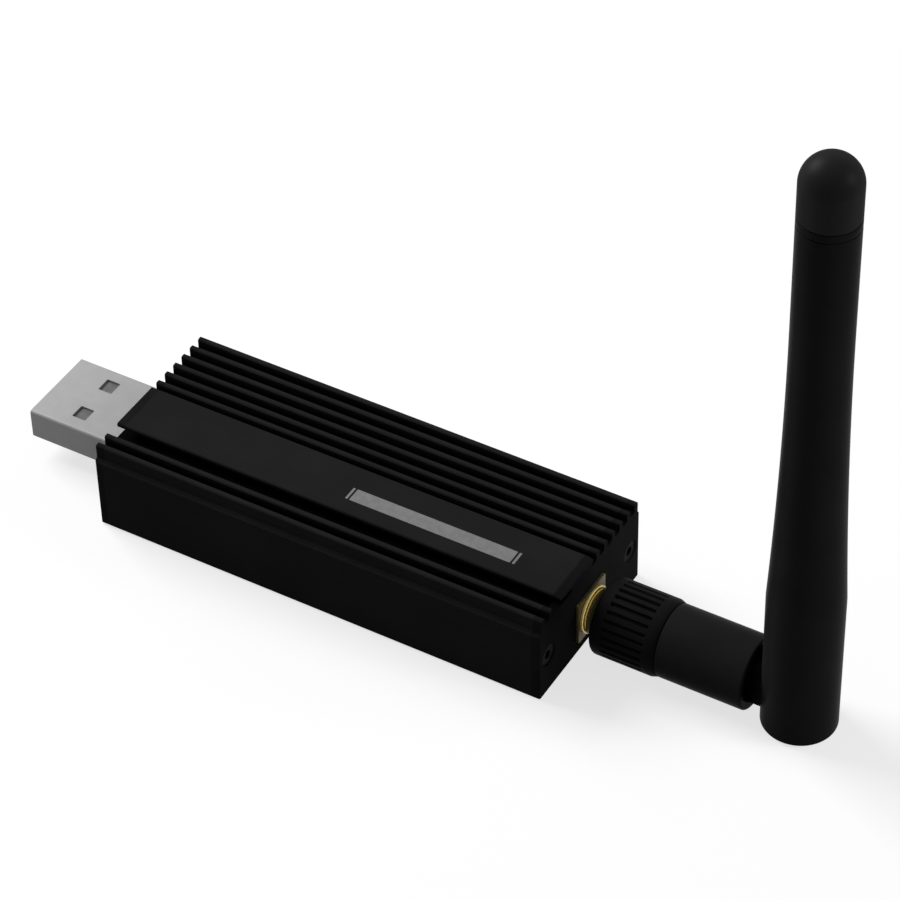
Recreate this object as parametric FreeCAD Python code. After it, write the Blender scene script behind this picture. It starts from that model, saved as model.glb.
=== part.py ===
import FreeCAD, Part
import math
import os

from FreeCAD import Vector

# Smart home usb radio stick with a screw-on swivelling antenna.
# Millimetres. The origin is the middle of the housing's flat bottom.
# +X runs from the usb plug to the antenna, +Z is up, -Y is the side with the undercut slot.

# Housing
BODY_LENGTH = 64.7
BODY_WIDTH = 25.5
BODY_HEIGHT = 12.9
FIN_HEIGHT = 2.2
FIN_PITCH = 1.96
FIN_THICKNESS = 0.8
FIN_EDGE = 0.15
SLOT_CORNER = 0.3
PANEL_FAR = 0.73
PANEL_NEAR = -7.35
PANEL_LIP = 0.7
PANEL_BEVEL = 1.0
UNDERCUT = 2.65
WALL = 1.35
ROOF = 1.5
FLOOR = 1.3
PLATE = 1.2
REAR_NOTCH_DEPTH = 1.25

# Countersunk screws of the end plates
SCREW_INSET = 2.4
SCREW_Z = 5.75
SCREW_RADIUS = 0.75
SCREW_LENGTH = 5.5
HEAD_RADIUS = 1.4
HEAD_DEPTH = 0.2
SOCKET_RADIUS = 0.72
SOCKET_DEEP = 0.75

# Plug shell
PLUG_REACH = 15.1
PLUG_WIDTH = 12.0
PLUG_HEIGHT = 4.5
PLUG_MIDDLE = 5.13
SHELL_WALL = 0.3
SHELL_CORNER = 0.6
SHELL_DEPTH = 3.4
CATCH_START = 7.75
CATCH_LENGTH = 2.05
CATCH_WIDTH = 2.2
CATCH_SPREAD = 3.0
CONTACT_WIDTH = 1.0
CONTACT_THICKNESS = 0.25

# Circuit board
BOARD_THICKNESS = 1.6
BOARD_EDGE_GAP = 0.3
BOARD_END_GAP = 0.4
BOARD_DROP = 0.4
SHIELD_LENGTH = 18.0
SHIELD_WIDTH = 14.0
SHIELD_HEIGHT = 2.4
SHIELD_INSET = 19.85
RADIO_INSET = 22.35
RADIO_SIDE = 7.0
BRIDGE_INSET = 18.35
BRIDGE_SIDE = 5.0
CHIP_HEIGHT = 0.9
CAPACITOR_ROW_INSET = 31.75

# Antenna jack
AXIS_HEIGHT = 4.9
JACK_REACH = 7.4
FLANGE_WIDTH = 6.8
FLANGE_HEIGHT = 6.5
FLANGE_THICKNESS = 1.6
FLANGE_PROUD = 0.3
SHOULDER_RADIUS = 3.25
SHOULDER_LENGTH = 0.9
NECK_RADIUS = 2.85
NECK_LENGTH = 0.5
BARREL_RADIUS = 3.175
SOCKET_DEPTH = 1.93
JACK_CORE_RADIUS = 2.05
PIN_RADIUS = 0.455
PIN_REACH = 2.3

# Screw coupling
COLLAR_GAP = 2.3
COLLAR_LENGTH = 9.0
COLLAR_RADIUS = 5.08
COLLAR_EDGE = 0.55
FLUTES = 28
FLUTE_WIDTH = 0.46
FLUTE_DEPTH = 0.2
FLUTE_START = 1.7
FLUTE_LENGTH = 5.75
NUT_START = 0.6
NUT_LENGTH = 7.7
NUT_CORNER_RADIUS = 4.35
THREAD_PLAY = 0.075

# Antenna plug inside the coupling
SEAL_LENGTH = 0.6
NOSE_RADIUS = 2.27
RIM_RADIUS = 3.1
RIM_LENGTH = 1.2
STEM_RADIUS = 2.4
STEM_LENGTH = 7.0
STEM_HEAD_RADIUS = 2.9
STEM_HEAD_LENGTH = 0.6
RING_PLACE = 1.5
RING_WIDTH = 0.4
RING_GROOVE_RADIUS = 2.15
CABLE_RADIUS = 0.9

# Elbow and whip
BASE_RADIUS = 4.81
BASE_LENGTH = 11.75
BASE_EDGE = 0.45
PIVOT_REACH = 28.95
TONGUE_THICKNESS = 4.0
TONGUE_RADIUS = 3.3
TRUNNION_RADIUS = 1.6
TRUNNION_LENGTH = 1.6
WHIP_FOOT = 0.1
WHIP_RADIUS = 4.8
WHIP_TIP_RADIUS = 3.7
WHIP_WALL = 1.0
WHIP_HEIGHT = 86.1
FOOT_EDGE = 0.25
STRAIGHT_FOOT = 20.8
STRAIGHT_TOP = 15.1
BAND_HEIGHT = 1.25
CAP_LENGTH = 7.95
GROOVE_EDGE = 0.12
SPIGOT_LENGTH = 5.0

# Dipole inside the whip
SLEEVE_FOOT = 22.0
SLEEVE_LENGTH = 22.0
SLEEVE_RADIUS = 2.1
SLEEVE_WALL = 0.25
BEAD_LENGTH = 2.5
WIRE_RADIUS = 0.5

# Clearances
RUNNING = 0.05
SIDE_PLAY = 0.1
SEAT = 0.02

# Places that follow from the sizes above
FRONT = -BODY_LENGTH / 2
REAR = BODY_LENGTH / 2
LEDGE_HEIGHT = BODY_HEIGHT - FIN_HEIGHT
BOARD_TOP = AXIS_HEIGHT - BOARD_DROP
BOARD_BOTTOM = BOARD_TOP - BOARD_THICKNESS
BOARD_WIDTH = BODY_WIDTH - 2 * (WALL + BOARD_EDGE_GAP)
SHELL_BOTTOM = PLUG_MIDDLE - PLUG_HEIGHT / 2
SHELL_TOP = PLUG_MIDDLE + PLUG_HEIGHT / 2
SHELL_BACK = FRONT + SHELL_DEPTH
SCREW_Y = BODY_WIDTH / 2 - SCREW_INSET
JACK_FACE = REAR + FLANGE_PROUD
JACK_BACK = JACK_FACE - FLANGE_THICKNESS
JACK_FRONT = REAR + JACK_REACH
REFERENCE = JACK_FRONT - SOCKET_DEPTH
COLLAR_FRONT = REAR + COLLAR_GAP
COLLAR_BACK = COLLAR_FRONT + COLLAR_LENGTH
RIM_FRONT = JACK_FRONT + SEAL_LENGTH
RIM_BACK = RIM_FRONT + RIM_LENGTH
STEM_END = RIM_BACK + STEM_LENGTH
RING_FRONT = RIM_BACK + RING_PLACE
BASE_START = COLLAR_BACK + SIDE_PLAY
BASE_END = BASE_START + BASE_LENGTH
PIVOT = Vector(REAR + PIVOT_REACH, 0, AXIS_HEIGHT)
CABLE_BREAK = PIVOT.x - 2.2
DISH_REACH = math.hypot(WHIP_RADIUS, AXIS_HEIGHT - WHIP_FOOT) + SIDE_PLAY
WHIP_TIP = WHIP_FOOT + WHIP_HEIGHT
CAP_FOOT = WHIP_TIP - CAP_LENGTH
BAND_FOOT = CAP_FOOT - BAND_HEIGHT
TAPER_START = WHIP_FOOT + STRAIGHT_FOOT
TAPER_END = BAND_FOOT - STRAIGHT_TOP
BORE = WHIP_TIP_RADIUS - WHIP_WALL
SLEEVE_TOP = SLEEVE_FOOT + SLEEVE_LENGTH

X = Vector(1, 0, 0)
Y = Vector(0, 1, 0)
Z = Vector(0, 0, 1)


def block(low, high):
    """Box between two corners, given in any order."""
    least = Vector(*[min(a, b) for a, b in zip(low, high)])
    most = Vector(*[max(a, b) for a, b in zip(low, high)])
    size = most - least
    return Part.makeBox(size.x, size.y, size.z, least)


def rod(radius, start, end, y=0, z=AXIS_HEIGHT):
    """Cylinder along X, on the antenna axis unless told otherwise."""
    return Part.makeCylinder(radius, end - start, Vector(start, y, z), X)


def post(radius, low, high, x=PIVOT.x, y=0):
    """Upright cylinder, on the whip's axis unless told otherwise."""
    return Part.makeCylinder(radius, high - low, Vector(x, y, low), Z)


def rim(shape, x):
    """Round edges of a turned piece that lie across the antenna axis at x."""
    return [edge for edge in shape.Edges if edge.isClosed() and abs(edge.CenterOfMass.x - x) < 1e-3]


def outline(corners, x, rounded=True):
    """Face across X through corners (y, z, size), where each corner is rounded or cut off."""
    turns = []
    for index, (y, z, size) in enumerate(corners):
        here = Vector(x, y, z)
        before = corners[index - 1]
        after = corners[(index + 1) % len(corners)]
        back = (Vector(x, before[0], before[1]) - here).normalize()
        ahead = (Vector(x, after[0], after[1]) - here).normalize()
        half = back.getAngle(ahead) / 2
        reach = size / math.tan(half)
        middle = (back + ahead).normalize()
        centre = here + middle * (size / math.sin(half))
        turns.append((here + back * reach, centre - middle * size, here + ahead * reach))
    edges = []
    for index, (start, middle, end) in enumerate(turns):
        last = turns[index - 1][2]
        if (start - last).Length > 1e-6:
            edges.append(Part.LineSegment(last, start).toShape())
        if rounded:
            edges.append(Part.Arc(start, middle, end).toShape())
        else:
            edges.append(Part.LineSegment(start, end).toShape())
    return Part.Face(Part.Wire(edges))


def rectangle(side, low, high, corner, x):
    """Face across X, from -side to side and from low to high, with rounded corners."""
    return outline([(-side, low, corner), (side, low, corner), (side, high, corner), (-side, high, corner)], x)


def pick(shape, test):
    """Edges of a shape whose middle point passes the test."""
    chosen = []
    for edge in shape.Edges:
        if test(edge.valueAt((edge.FirstParameter + edge.LastParameter) / 2)):
            chosen.append(edge)
    return chosen


# Housing section
# Fins stand on a pitch that counts from the middle; the panel takes the places between them.

def fin_places():
    """Numbers of the fins on the far side and the near side of the panel, outermost far fin first."""
    room = BODY_WIDTH / 2 - FIN_THICKNESS / 2 - FIN_EDGE
    last = int(room / FIN_PITCH)
    first_near = math.ceil((FIN_THICKNESS - PANEL_NEAR + SLOT_CORNER) / FIN_PITCH)
    far = list(range(last, 0, -1))
    near = [-place for place in range(first_near, last + 1)]
    return far, near


def section(x, floor):
    """Outside of the housing: ledges, fins, and the panel over its undercut channel."""
    half = BODY_WIDTH / 2
    lip = BODY_HEIGHT - PANEL_LIP
    stem_far = FIN_THICKNESS / 2
    stem_near = PANEL_NEAR + UNDERCUT
    corner = min(SLOT_CORNER, 0.4 * (lip - floor))
    edge = FIN_EDGE
    far, near = fin_places()
    points = [(-half, 0, edge), (half, 0, edge), (half, LEDGE_HEIGHT, edge)]
    for place in far:
        outer = place * FIN_PITCH + FIN_THICKNESS / 2
        inner = place * FIN_PITCH - FIN_THICKNESS / 2
        foot = LEDGE_HEIGHT if place == far[0] else floor
        points += [(outer, foot, corner), (outer, BODY_HEIGHT, edge)]
        points += [(inner, BODY_HEIGHT, edge), (inner, floor, corner)]
    points += [(stem_far, floor, corner), (stem_far, lip, 0.08), (PANEL_FAR, lip, 0.1)]
    points += [(PANEL_FAR, BODY_HEIGHT, edge), (PANEL_NEAR, BODY_HEIGHT, edge), (PANEL_NEAR, lip, edge)]
    points += [(stem_near, lip, 0.08), (stem_near, floor, corner)]
    for place in near:
        outer = place * FIN_PITCH - FIN_THICKNESS / 2
        inner = place * FIN_PITCH + FIN_THICKNESS / 2
        foot = LEDGE_HEIGHT if place == near[-1] else floor
        points += [(inner, floor, corner), (inner, BODY_HEIGHT, edge)]
        points += [(outer, BODY_HEIGHT, edge), (outer, foot, corner)]
    points += [(-half, LEDGE_HEIGHT, edge)]
    return outline(points, x, rounded=False)


def housing_extrusion():
    start = FRONT + PLATE
    length = BODY_LENGTH - 2 * PLATE
    shell = section(start, LEDGE_HEIGHT).extrude(X * length)
    side = BODY_WIDTH / 2 - WALL
    roof = LEDGE_HEIGHT - ROOF
    body = shell.cut(rectangle(side, FLOOR, roof, 0.5, start).extrude(X * length))
    # along each side a boss for the screws lies above the board's edge, and a rail below it
    boss_side = SCREW_Y - SCREW_RADIUS - 0.4
    boss_top = SCREW_Z + SCREW_RADIUS + 0.8
    outside = side + 0.2
    end = start + length

    def inner_top_edge(p):
        return abs(abs(p.y) - boss_side) < 1e-3 and p.z > boss_top - 1e-3

    for hand in (-1, 1):
        boss = block((start, hand * boss_side, BOARD_TOP + SIDE_PLAY), (end, hand * outside, boss_top))
        boss = boss.makeChamfer(0.4, pick(boss, inner_top_edge))
        rail = block((start, hand * (SCREW_Y - 0.05), FLOOR - 0.2), (end, hand * outside, BOARD_BOTTOM))
        body = body.fuse([boss, rail])
    for hand in (-1, 1):
        body = body.cut(rod(SCREW_RADIUS + RUNNING, start - 1, end + 1, hand * SCREW_Y, SCREW_Z))
    return body.removeSplitter()


def countersinks(face_x, inward):
    """Screw holes of an end plate, with cones that open at its outer face."""
    holes = []
    for hand in (-1, 1):
        point = Vector(face_x, hand * SCREW_Y, SCREW_Z)
        step = X * inward
        mouth = HEAD_RADIUS + HEAD_DEPTH
        holes.append(Part.makeCylinder(SCREW_RADIUS + RUNNING, PLATE + 1, point, step))
        holes.append(Part.makeCone(mouth, SCREW_RADIUS, mouth - SCREW_RADIUS, point, step))
    return holes


def corner_tools(face_x, inward, radius):
    """Tools that round the two upright corners of an end plate's outer face."""
    tools = []
    for hand in (-1, 1):
        x = face_x + inward * radius
        y = hand * (BODY_WIDTH / 2 - radius)
        bar = block((x, y, -1), (face_x - inward, hand * BODY_WIDTH, BODY_HEIGHT + 1))
        tools.append(bar.cut(Part.makeCylinder(radius, BODY_HEIGHT + 4, Vector(x, y, -2), Z)))
    return tools


def front_end_plate():
    plate = section(FRONT, LEDGE_HEIGHT).extrude(X * PLATE)
    side = PLUG_WIDTH / 2 + SIDE_PLAY
    opening = rectangle(side, SHELL_BOTTOM - SIDE_PLAY, SHELL_TOP + SIDE_PLAY, SHELL_CORNER, FRONT - 1)
    tools = [opening.extrude(X * (PLATE + 2))]
    return plate.cut(tools + countersinks(FRONT, 1) + corner_tools(FRONT, 1, 0.3))


def rear_end_plate():
    plate = section(REAR - PLATE, BODY_HEIGHT - REAR_NOTCH_DEPTH).extrude(X * PLATE)
    side = FLANGE_WIDTH / 2 + SIDE_PLAY
    reach = FLANGE_HEIGHT / 2 + SIDE_PLAY
    opening = block((REAR - PLATE - 1, -side, AXIS_HEIGHT - reach), (REAR + 1, side, AXIS_HEIGHT + reach))
    plate = plate.cut([opening] + countersinks(REAR, -1) + corner_tools(REAR, -1, 0.4))
    # the panel's end edge is bevelled
    top = BODY_HEIGHT
    fall = 0.35 * PANEL_BEVEL
    side_view = [(REAR - PANEL_BEVEL, top), (REAR, top - fall), (REAR + 0.1, top - fall),
                 (REAR + 0.1, top + 0.1), (REAR - PANEL_BEVEL, top + 0.1), (REAR - PANEL_BEVEL, top)]
    bevel = Part.Face(Part.makePolygon([Vector(x, PANEL_NEAR - 0.2, z) for x, z in side_view]))
    return plate.cut(bevel.extrude(Y * (PANEL_FAR - PANEL_NEAR + 0.4)))


def hexagon(centre, radius):
    """Six-sided face across X."""
    corners = []
    for step in range(7):
        angle = math.radians(60 * step)
        corners.append(centre + Vector(0, radius * math.cos(angle), radius * math.sin(angle)))
    return Part.Face(Part.makePolygon(corners))


def plate_screw(face_x, inward, hand):
    """Countersunk screw with a six-sided socket; the head lies a little below the plate's face."""
    point = Vector(face_x + HEAD_DEPTH * inward, hand * SCREW_Y, SCREW_Z)
    head = Part.makeCone(HEAD_RADIUS, SCREW_RADIUS, HEAD_RADIUS - SCREW_RADIUS, point, X * inward)
    shank = Part.makeCylinder(SCREW_RADIUS, SCREW_LENGTH, point, X * inward)
    socket = hexagon(point, SOCKET_RADIUS).extrude(X * (SOCKET_DEEP * inward))
    return head.fuse(shank).removeSplitter().cut(socket)


# Usb plug

def usb_shell():
    tip = FRONT - PLUG_REACH
    side = PLUG_WIDTH / 2
    inner = side - SHELL_WALL
    length = SHELL_BACK - tip
    outer = rectangle(side, SHELL_BOTTOM, SHELL_TOP, SHELL_CORNER, tip)
    corner = SHELL_CORNER - SHELL_WALL
    hole = rectangle(inner, SHELL_BOTTOM + SHELL_WALL, SHELL_TOP - SHELL_WALL, corner, tip - 1)
    shell = outer.extrude(X * length).cut(hole.extrude(X * (length + 2)))
    near = FRONT - CATCH_START
    catches = []
    for hand in (-1, 1):
        # catch holes go through the top and the bottom wall
        middle = hand * CATCH_SPREAD
        low = (near - CATCH_LENGTH, middle - CATCH_WIDTH / 2, SHELL_BOTTOM - 1)
        high = (near, middle + CATCH_WIDTH / 2, SHELL_TOP + 1)
        catches.append(block(low, high))
    shell = shell.cut(catches)
    for hand in (-1, 1):
        # side wall runs on as a leg that stands in a slot of the board
        low = (SHELL_BACK - 0.5, hand * inner, BOARD_BOTTOM - 0.6)
        shell = shell.fuse(block(low, (SHELL_BACK + 2.6, hand * side, BOARD_TOP + 0.6)))
    return shell.removeSplitter()


def usb_insulator():
    tip = FRONT - PLUG_REACH
    side = PLUG_WIDTH / 2 - SHELL_WALL
    high = SHELL_TOP - SHELL_WALL
    low = SHELL_BOTTOM + SHELL_WALL
    corner = SHELL_CORNER - SHELL_WALL
    heel = 2.6
    tongue = rectangle(side, PLUG_MIDDLE + 0.15, high, corner, tip + 0.5)
    block_end = rectangle(side, low, high, corner, FRONT - heel)
    body = tongue.extrude(X * (SHELL_BACK - tip - 0.5)).fuse(block_end.extrude(X * (SHELL_BACK - FRONT + heel)))
    body = body.removeSplitter()
    for place in range(4):
        body = body.cut(usb_contact(place))
    return body


def usb_contact(place):
    """Strip under the tongue that steps down behind the heel to lie on the board."""
    middle = (-3.5, -1.0, 1.0, 3.5)[place]
    outer_pair = place in (0, 3)
    start = FRONT - PLUG_REACH + (1.6 if outer_pair else 2.6)
    face = PLUG_MIDDLE + 0.15
    thick = CONTACT_THICKNESS
    step = SHELL_BACK + 0.6
    end = SHELL_BACK + 2.4
    path = [(start, face), (step, face), (step, BOARD_TOP + thick), (end, BOARD_TOP + thick), (end, BOARD_TOP),
            (step - thick, BOARD_TOP), (step - thick, face - thick), (start, face - thick), (start, face)]
    strip = Part.Face(Part.makePolygon([Vector(x, middle - CONTACT_WIDTH / 2, z) for x, z in path]))
    return strip.extrude(Y * CONTACT_WIDTH)


# Circuit board and what is on it
# Parts near the plug are placed from the front end, and the radio from the rear end.

def circuit_board():
    front = FRONT + PLATE + BOARD_END_GAP
    back = JACK_BACK
    board = block((front, -BOARD_WIDTH / 2, BOARD_BOTTOM), (back, BOARD_WIDTH / 2, BOARD_TOP))
    side = PLUG_WIDTH / 2
    notch = side + 0.2
    board = board.cut(block((front - 1, -notch, BOARD_BOTTOM - 1), (SHELL_BACK + 0.2, notch, BOARD_TOP + 1)))
    for hand in (-1, 1):
        low = (SHELL_BACK, hand * (side - SHELL_WALL), BOARD_BOTTOM - 1)
        slot = block(low, (SHELL_BACK + 2.6, hand * side, BOARD_TOP + 1))
        hole = post(0.8, BOARD_BOTTOM - 1, BOARD_TOP + 1, back - 8, hand * (BOARD_WIDTH / 2 - 3.1))
        board = board.cut([slot, hole])
    return board


def on_board(x, y, length, width, height):
    """Block that stands on the board's top face, centred at x, y."""
    low = (x - length / 2, y - width / 2, BOARD_TOP)
    return block(low, (x + length / 2, y + width / 2, BOARD_TOP + height))


def shield_can():
    x = REAR - SHIELD_INSET
    sheet = 0.2
    outer = on_board(x, 0, SHIELD_LENGTH, SHIELD_WIDTH, SHIELD_HEIGHT)
    inner = on_board(x, 0, SHIELD_LENGTH - 2 * sheet, SHIELD_WIDTH - 2 * sheet, SHIELD_HEIGHT - sheet)
    can = outer.makeChamfer(sheet, pick(outer, lambda p: p.z > BOARD_TOP + SHIELD_HEIGHT - 1e-3)).cut(inner)
    for step in (-1, 0, 1):
        # vent holes
        can = can.cut(post(0.5, BOARD_TOP + 1.5, BOARD_TOP + SHIELD_HEIGHT + 1, x + 3.0 * step, 4.4))
    return can


def flat_chip(x, y, side, height, pads):
    """Square chip with a row of end pads along each side, and one corner cut off to mark the first pad."""
    chip = on_board(x, y, side, side, height)
    corner = side / 2
    first = pick(chip, lambda p: abs(p.x - x + corner) < 1e-3 and abs(p.y - y - corner) < 1e-3)
    chip = chip.makeChamfer(0.3, first)
    pitch = (side - 1.2) / (pads - 1)
    feet = []
    for place in range(pads):
        offset = -side / 2 + 0.6 + place * pitch
        for hand in (-1, 1):
            edge = hand * side / 2
            feet.append(on_board(x + offset, y + edge, 0.24, 0.3, 0.2))
            feet.append(on_board(x + edge, y + offset, 0.3, 0.24, 0.2))
    return chip.fuse(feet)


def voltage_regulator():
    x = FRONT + 14.85
    y = -BOARD_WIDTH / 2 + 4.9
    body = on_board(x, y, 1.6, 2.9, 1.0)
    body = body.makeChamfer(0.15, pick(body, lambda p: p.z > BOARD_TOP + 0.9))
    legs = []
    for side, offsets in ((-1, (-0.95, 0, 0.95)), (1, (-0.95, 0.95))):
        for offset in offsets:
            legs.append(on_board(x + side * 1.1, y + offset, 0.8, 0.4, 0.25))
    return body.fuse(legs)


def crystal(x, y, length, width, height):
    """Metal-lidded crystal: a ceramic tray with a slightly smaller lid."""
    tray = on_board(x, y, length, width, height * 0.6)
    lid = on_board(x, y, length - 0.3, width - 0.3, height)
    return tray.fuse(lid).removeSplitter()


def status_light(x):
    """Small light near the board's edge: a flat foot and a lens block along its middle."""
    y = BOARD_WIDTH / 2 - 3.1
    foot = on_board(x, y, 1.6, 0.8, 0.3)
    lens = on_board(x, y, 1.0, 0.8, 0.7)
    lens = lens.makeChamfer(0.15, pick(lens, lambda p: p.z > BOARD_TOP + 0.65))
    return foot.fuse(lens)


def bulk_capacitor():
    x = FRONT + 8.85
    body = on_board(x, 0, 3.5, 2.8, 1.9)
    body = body.makeChamfer(0.2, pick(body, lambda p: p.z > BOARD_TOP + 1.8))
    ends = [on_board(x + hand * 1.75, 0, 0.2, 2.2, 0.9) for hand in (-1, 1)]
    return body.fuse(ends)


def chip_parts(spots, length, width, height):
    """Row of small two-ended parts: a body with a slightly larger cap on each end."""
    parts = []
    for x, y, turned in spots:
        long_x = width if turned else length
        long_y = length if turned else width
        body = on_board(x, y, long_x, long_y, height)
        cap = 0.22 * length
        for hand in (-1, 1):
            shift = hand * (length - cap) / 2
            if turned:
                body = body.fuse(on_board(x, y + shift, width + 0.06, cap, height + 0.03))
            else:
                body = body.fuse(on_board(x + shift, y, cap, width + 0.06, height + 0.03))
        parts.append(body)
    return Part.makeCompound(parts)


def small_capacitors():
    near_plug = FRONT + 11.85
    near_bridge = FRONT + 19.35
    near_shield = REAR - CAPACITOR_ROW_INSET
    row = -BOARD_WIDTH / 2 + 2.5
    spots = [(near_plug, 3.6, True), (near_plug, -3.4, True)]
    spots += [(near_bridge + 2.2 * step, 6.6, False) for step in range(3)]
    spots += [(near_bridge + 2.2 * step, row, False) for step in range(2)]
    spots += [(near_shield, y, True) for y in (5.5, 2.5, -5.5)]
    return chip_parts(spots, 1.2, 0.65, 0.6)


def matching_coils():
    """Three small parts between the radio and the jack's contact."""
    spots = [(REAR - 8.95, 1.6, True), (REAR - 6.75, 0.0, False), (REAR - 8.95, -1.6, True)]
    return chip_parts(spots, 1.0, 0.5, 0.5)


# Antenna jack

def jack_body():
    half_y = FLANGE_WIDTH / 2
    half_z = FLANGE_HEIGHT / 2
    flange = block((JACK_BACK, -half_y, AXIS_HEIGHT - half_z), (JACK_FACE, half_y, AXIS_HEIGHT + half_z))
    upright = (JACK_BACK + JACK_FACE) / 2
    flange = flange.makeChamfer(0.2, pick(flange, lambda p: abs(p.x - upright) < 1e-3))
    barrel_start = JACK_FACE + SHOULDER_LENGTH + NECK_LENGTH
    shoulder = rod(SHOULDER_RADIUS, JACK_FACE, JACK_FACE + SHOULDER_LENGTH)
    neck = rod(NECK_RADIUS, JACK_FACE + SHOULDER_LENGTH, barrel_start)
    barrel = rod(BARREL_RADIUS, barrel_start, JACK_FRONT)
    barrel = barrel.makeChamfer(0.25, rim(barrel, JACK_FRONT))
    body = flange.fuse([shoulder, neck, barrel])
    leg = 1.0
    for hand in (-1, 1):
        for low in (BOARD_TOP, BOARD_BOTTOM - leg):
            # four legs hold the board's end between them
            y = hand * 2.7
            body = body.fuse(block((JACK_BACK - 3.6, y - leg / 2, low), (JACK_BACK, y + leg / 2, low + leg)))
    socket = rod(NOSE_RADIUS + RUNNING, REFERENCE, JACK_FRONT + 1)
    return body.cut([rod(JACK_CORE_RADIUS, JACK_BACK - 1, REFERENCE), socket]).removeSplitter()


def jack_insulator():
    return rod(JACK_CORE_RADIUS, JACK_BACK, REFERENCE).cut(rod(PIN_RADIUS + 0.18, JACK_BACK - 1, REFERENCE + 1))


def jack_contact():
    socket = rod(PIN_RADIUS + 0.18, JACK_BACK, REFERENCE)
    tail = rod(BOARD_DROP, JACK_BACK - 2.6, JACK_BACK)
    return socket.fuse(tail).cut(rod(PIN_RADIUS + 0.03, REFERENCE - PIN_REACH - 0.7, REFERENCE + 1))


# Screw coupling

def knurled_collar():
    collar = rod(COLLAR_RADIUS, COLLAR_FRONT, COLLAR_BACK)
    collar = collar.makeChamfer(COLLAR_EDGE, rim(collar, COLLAR_FRONT))
    collar = collar.makeChamfer(0.15, rim(collar, COLLAR_BACK))
    start = COLLAR_FRONT + FLUTE_START
    outside = COLLAR_RADIUS + 0.1
    floor = COLLAR_RADIUS - FLUTE_DEPTH
    wide = FLUTE_WIDTH / 2 + 0.1
    narrow = FLUTE_WIDTH / 4
    side_view = [(-wide, outside), (-narrow, floor), (narrow, floor), (wide, outside), (-wide, outside)]
    groove = Part.Face(Part.makePolygon([Vector(start, y, AXIS_HEIGHT + z) for y, z in side_view]))
    groove = groove.extrude(X * FLUTE_LENGTH)
    flutes = []
    for step in range(FLUTES):
        flutes.append(groove.rotated(PIVOT, X, 360 * step / FLUTES))
    collar = collar.cut(flutes)
    # hollow for the nut, a wide mouth for the jack and a clear back end
    mouth = rod(SHOULDER_RADIUS + 0.25, COLLAR_FRONT - 1, COLLAR_FRONT + NUT_START + 1)
    back = rod(RIM_RADIUS + 0.2, COLLAR_BACK - 2, COLLAR_BACK + 1)
    return collar.cut([nut_prism(), mouth, back])


def nut_prism():
    """Six-sided outside of the metal nut."""
    return hexagon(Vector(COLLAR_FRONT + NUT_START, 0, AXIS_HEIGHT), NUT_CORNER_RADIUS).extrude(X * NUT_LENGTH)


def coupling_nut():
    bore_end = RIM_BACK + SIDE_PLAY
    bore = rod(BARREL_RADIUS + THREAD_PLAY, COLLAR_FRONT, bore_end)
    return nut_prism().cut([bore, rod(STEM_RADIUS + RUNNING, bore_end - 1, COLLAR_BACK)])


def ring_shape():
    """Ring that fills the groove of the antenna plug's stem."""
    outer = rod(STEM_HEAD_RADIUS, RING_FRONT, RING_FRONT + RING_WIDTH)
    return outer.cut(rod(RING_GROOVE_RADIUS, RING_FRONT - 1, RING_FRONT + RING_WIDTH + 1))


def plug_ferrule():
    nose = rod(NOSE_RADIUS, REFERENCE + SEAT, RIM_FRONT)
    shoulder = rod(RIM_RADIUS, RIM_FRONT, RIM_BACK)
    stem = rod(STEM_RADIUS, RIM_BACK, STEM_END)
    head = rod(STEM_HEAD_RADIUS, STEM_END - STEM_HEAD_LENGTH, STEM_END)
    body = nose.fuse([shoulder, stem, head]).cut(ring_shape())
    core_end = STEM_END - 3.7
    core = rod(JACK_CORE_RADIUS - 0.1, REFERENCE, core_end)
    return body.cut([core, rod(CABLE_RADIUS, core_end - 0.5, STEM_END + 1)]).removeSplitter()


def plug_insulator():
    core_end = STEM_END - 3.7
    core = rod(JACK_CORE_RADIUS - 0.1, REFERENCE + SEAT, core_end)
    return core.cut(rod(PIN_RADIUS, REFERENCE - 1, core_end + 1))


def plug_pin():
    tip = REFERENCE - PIN_REACH
    pin = rod(PIN_RADIUS, tip, STEM_END - 3.7)
    return pin.makeChamfer(0.2, rim(pin, tip))


def snap_ring():
    """Split ring in the groove of the stem, behind the nut's inner wall."""
    split = block((RING_FRONT - 1, -0.5, AXIS_HEIGHT), (RING_FRONT + 2, 0.5, AXIS_HEIGHT + 4))
    return ring_shape().cut(split)


def sealing_ring():
    ring = rod(RIM_RADIUS - 0.05, JACK_FRONT + SEAT, RIM_FRONT)
    return ring.cut(rod(NOSE_RADIUS, JACK_FRONT - 1, RIM_FRONT + 1))


# Elbow

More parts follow.
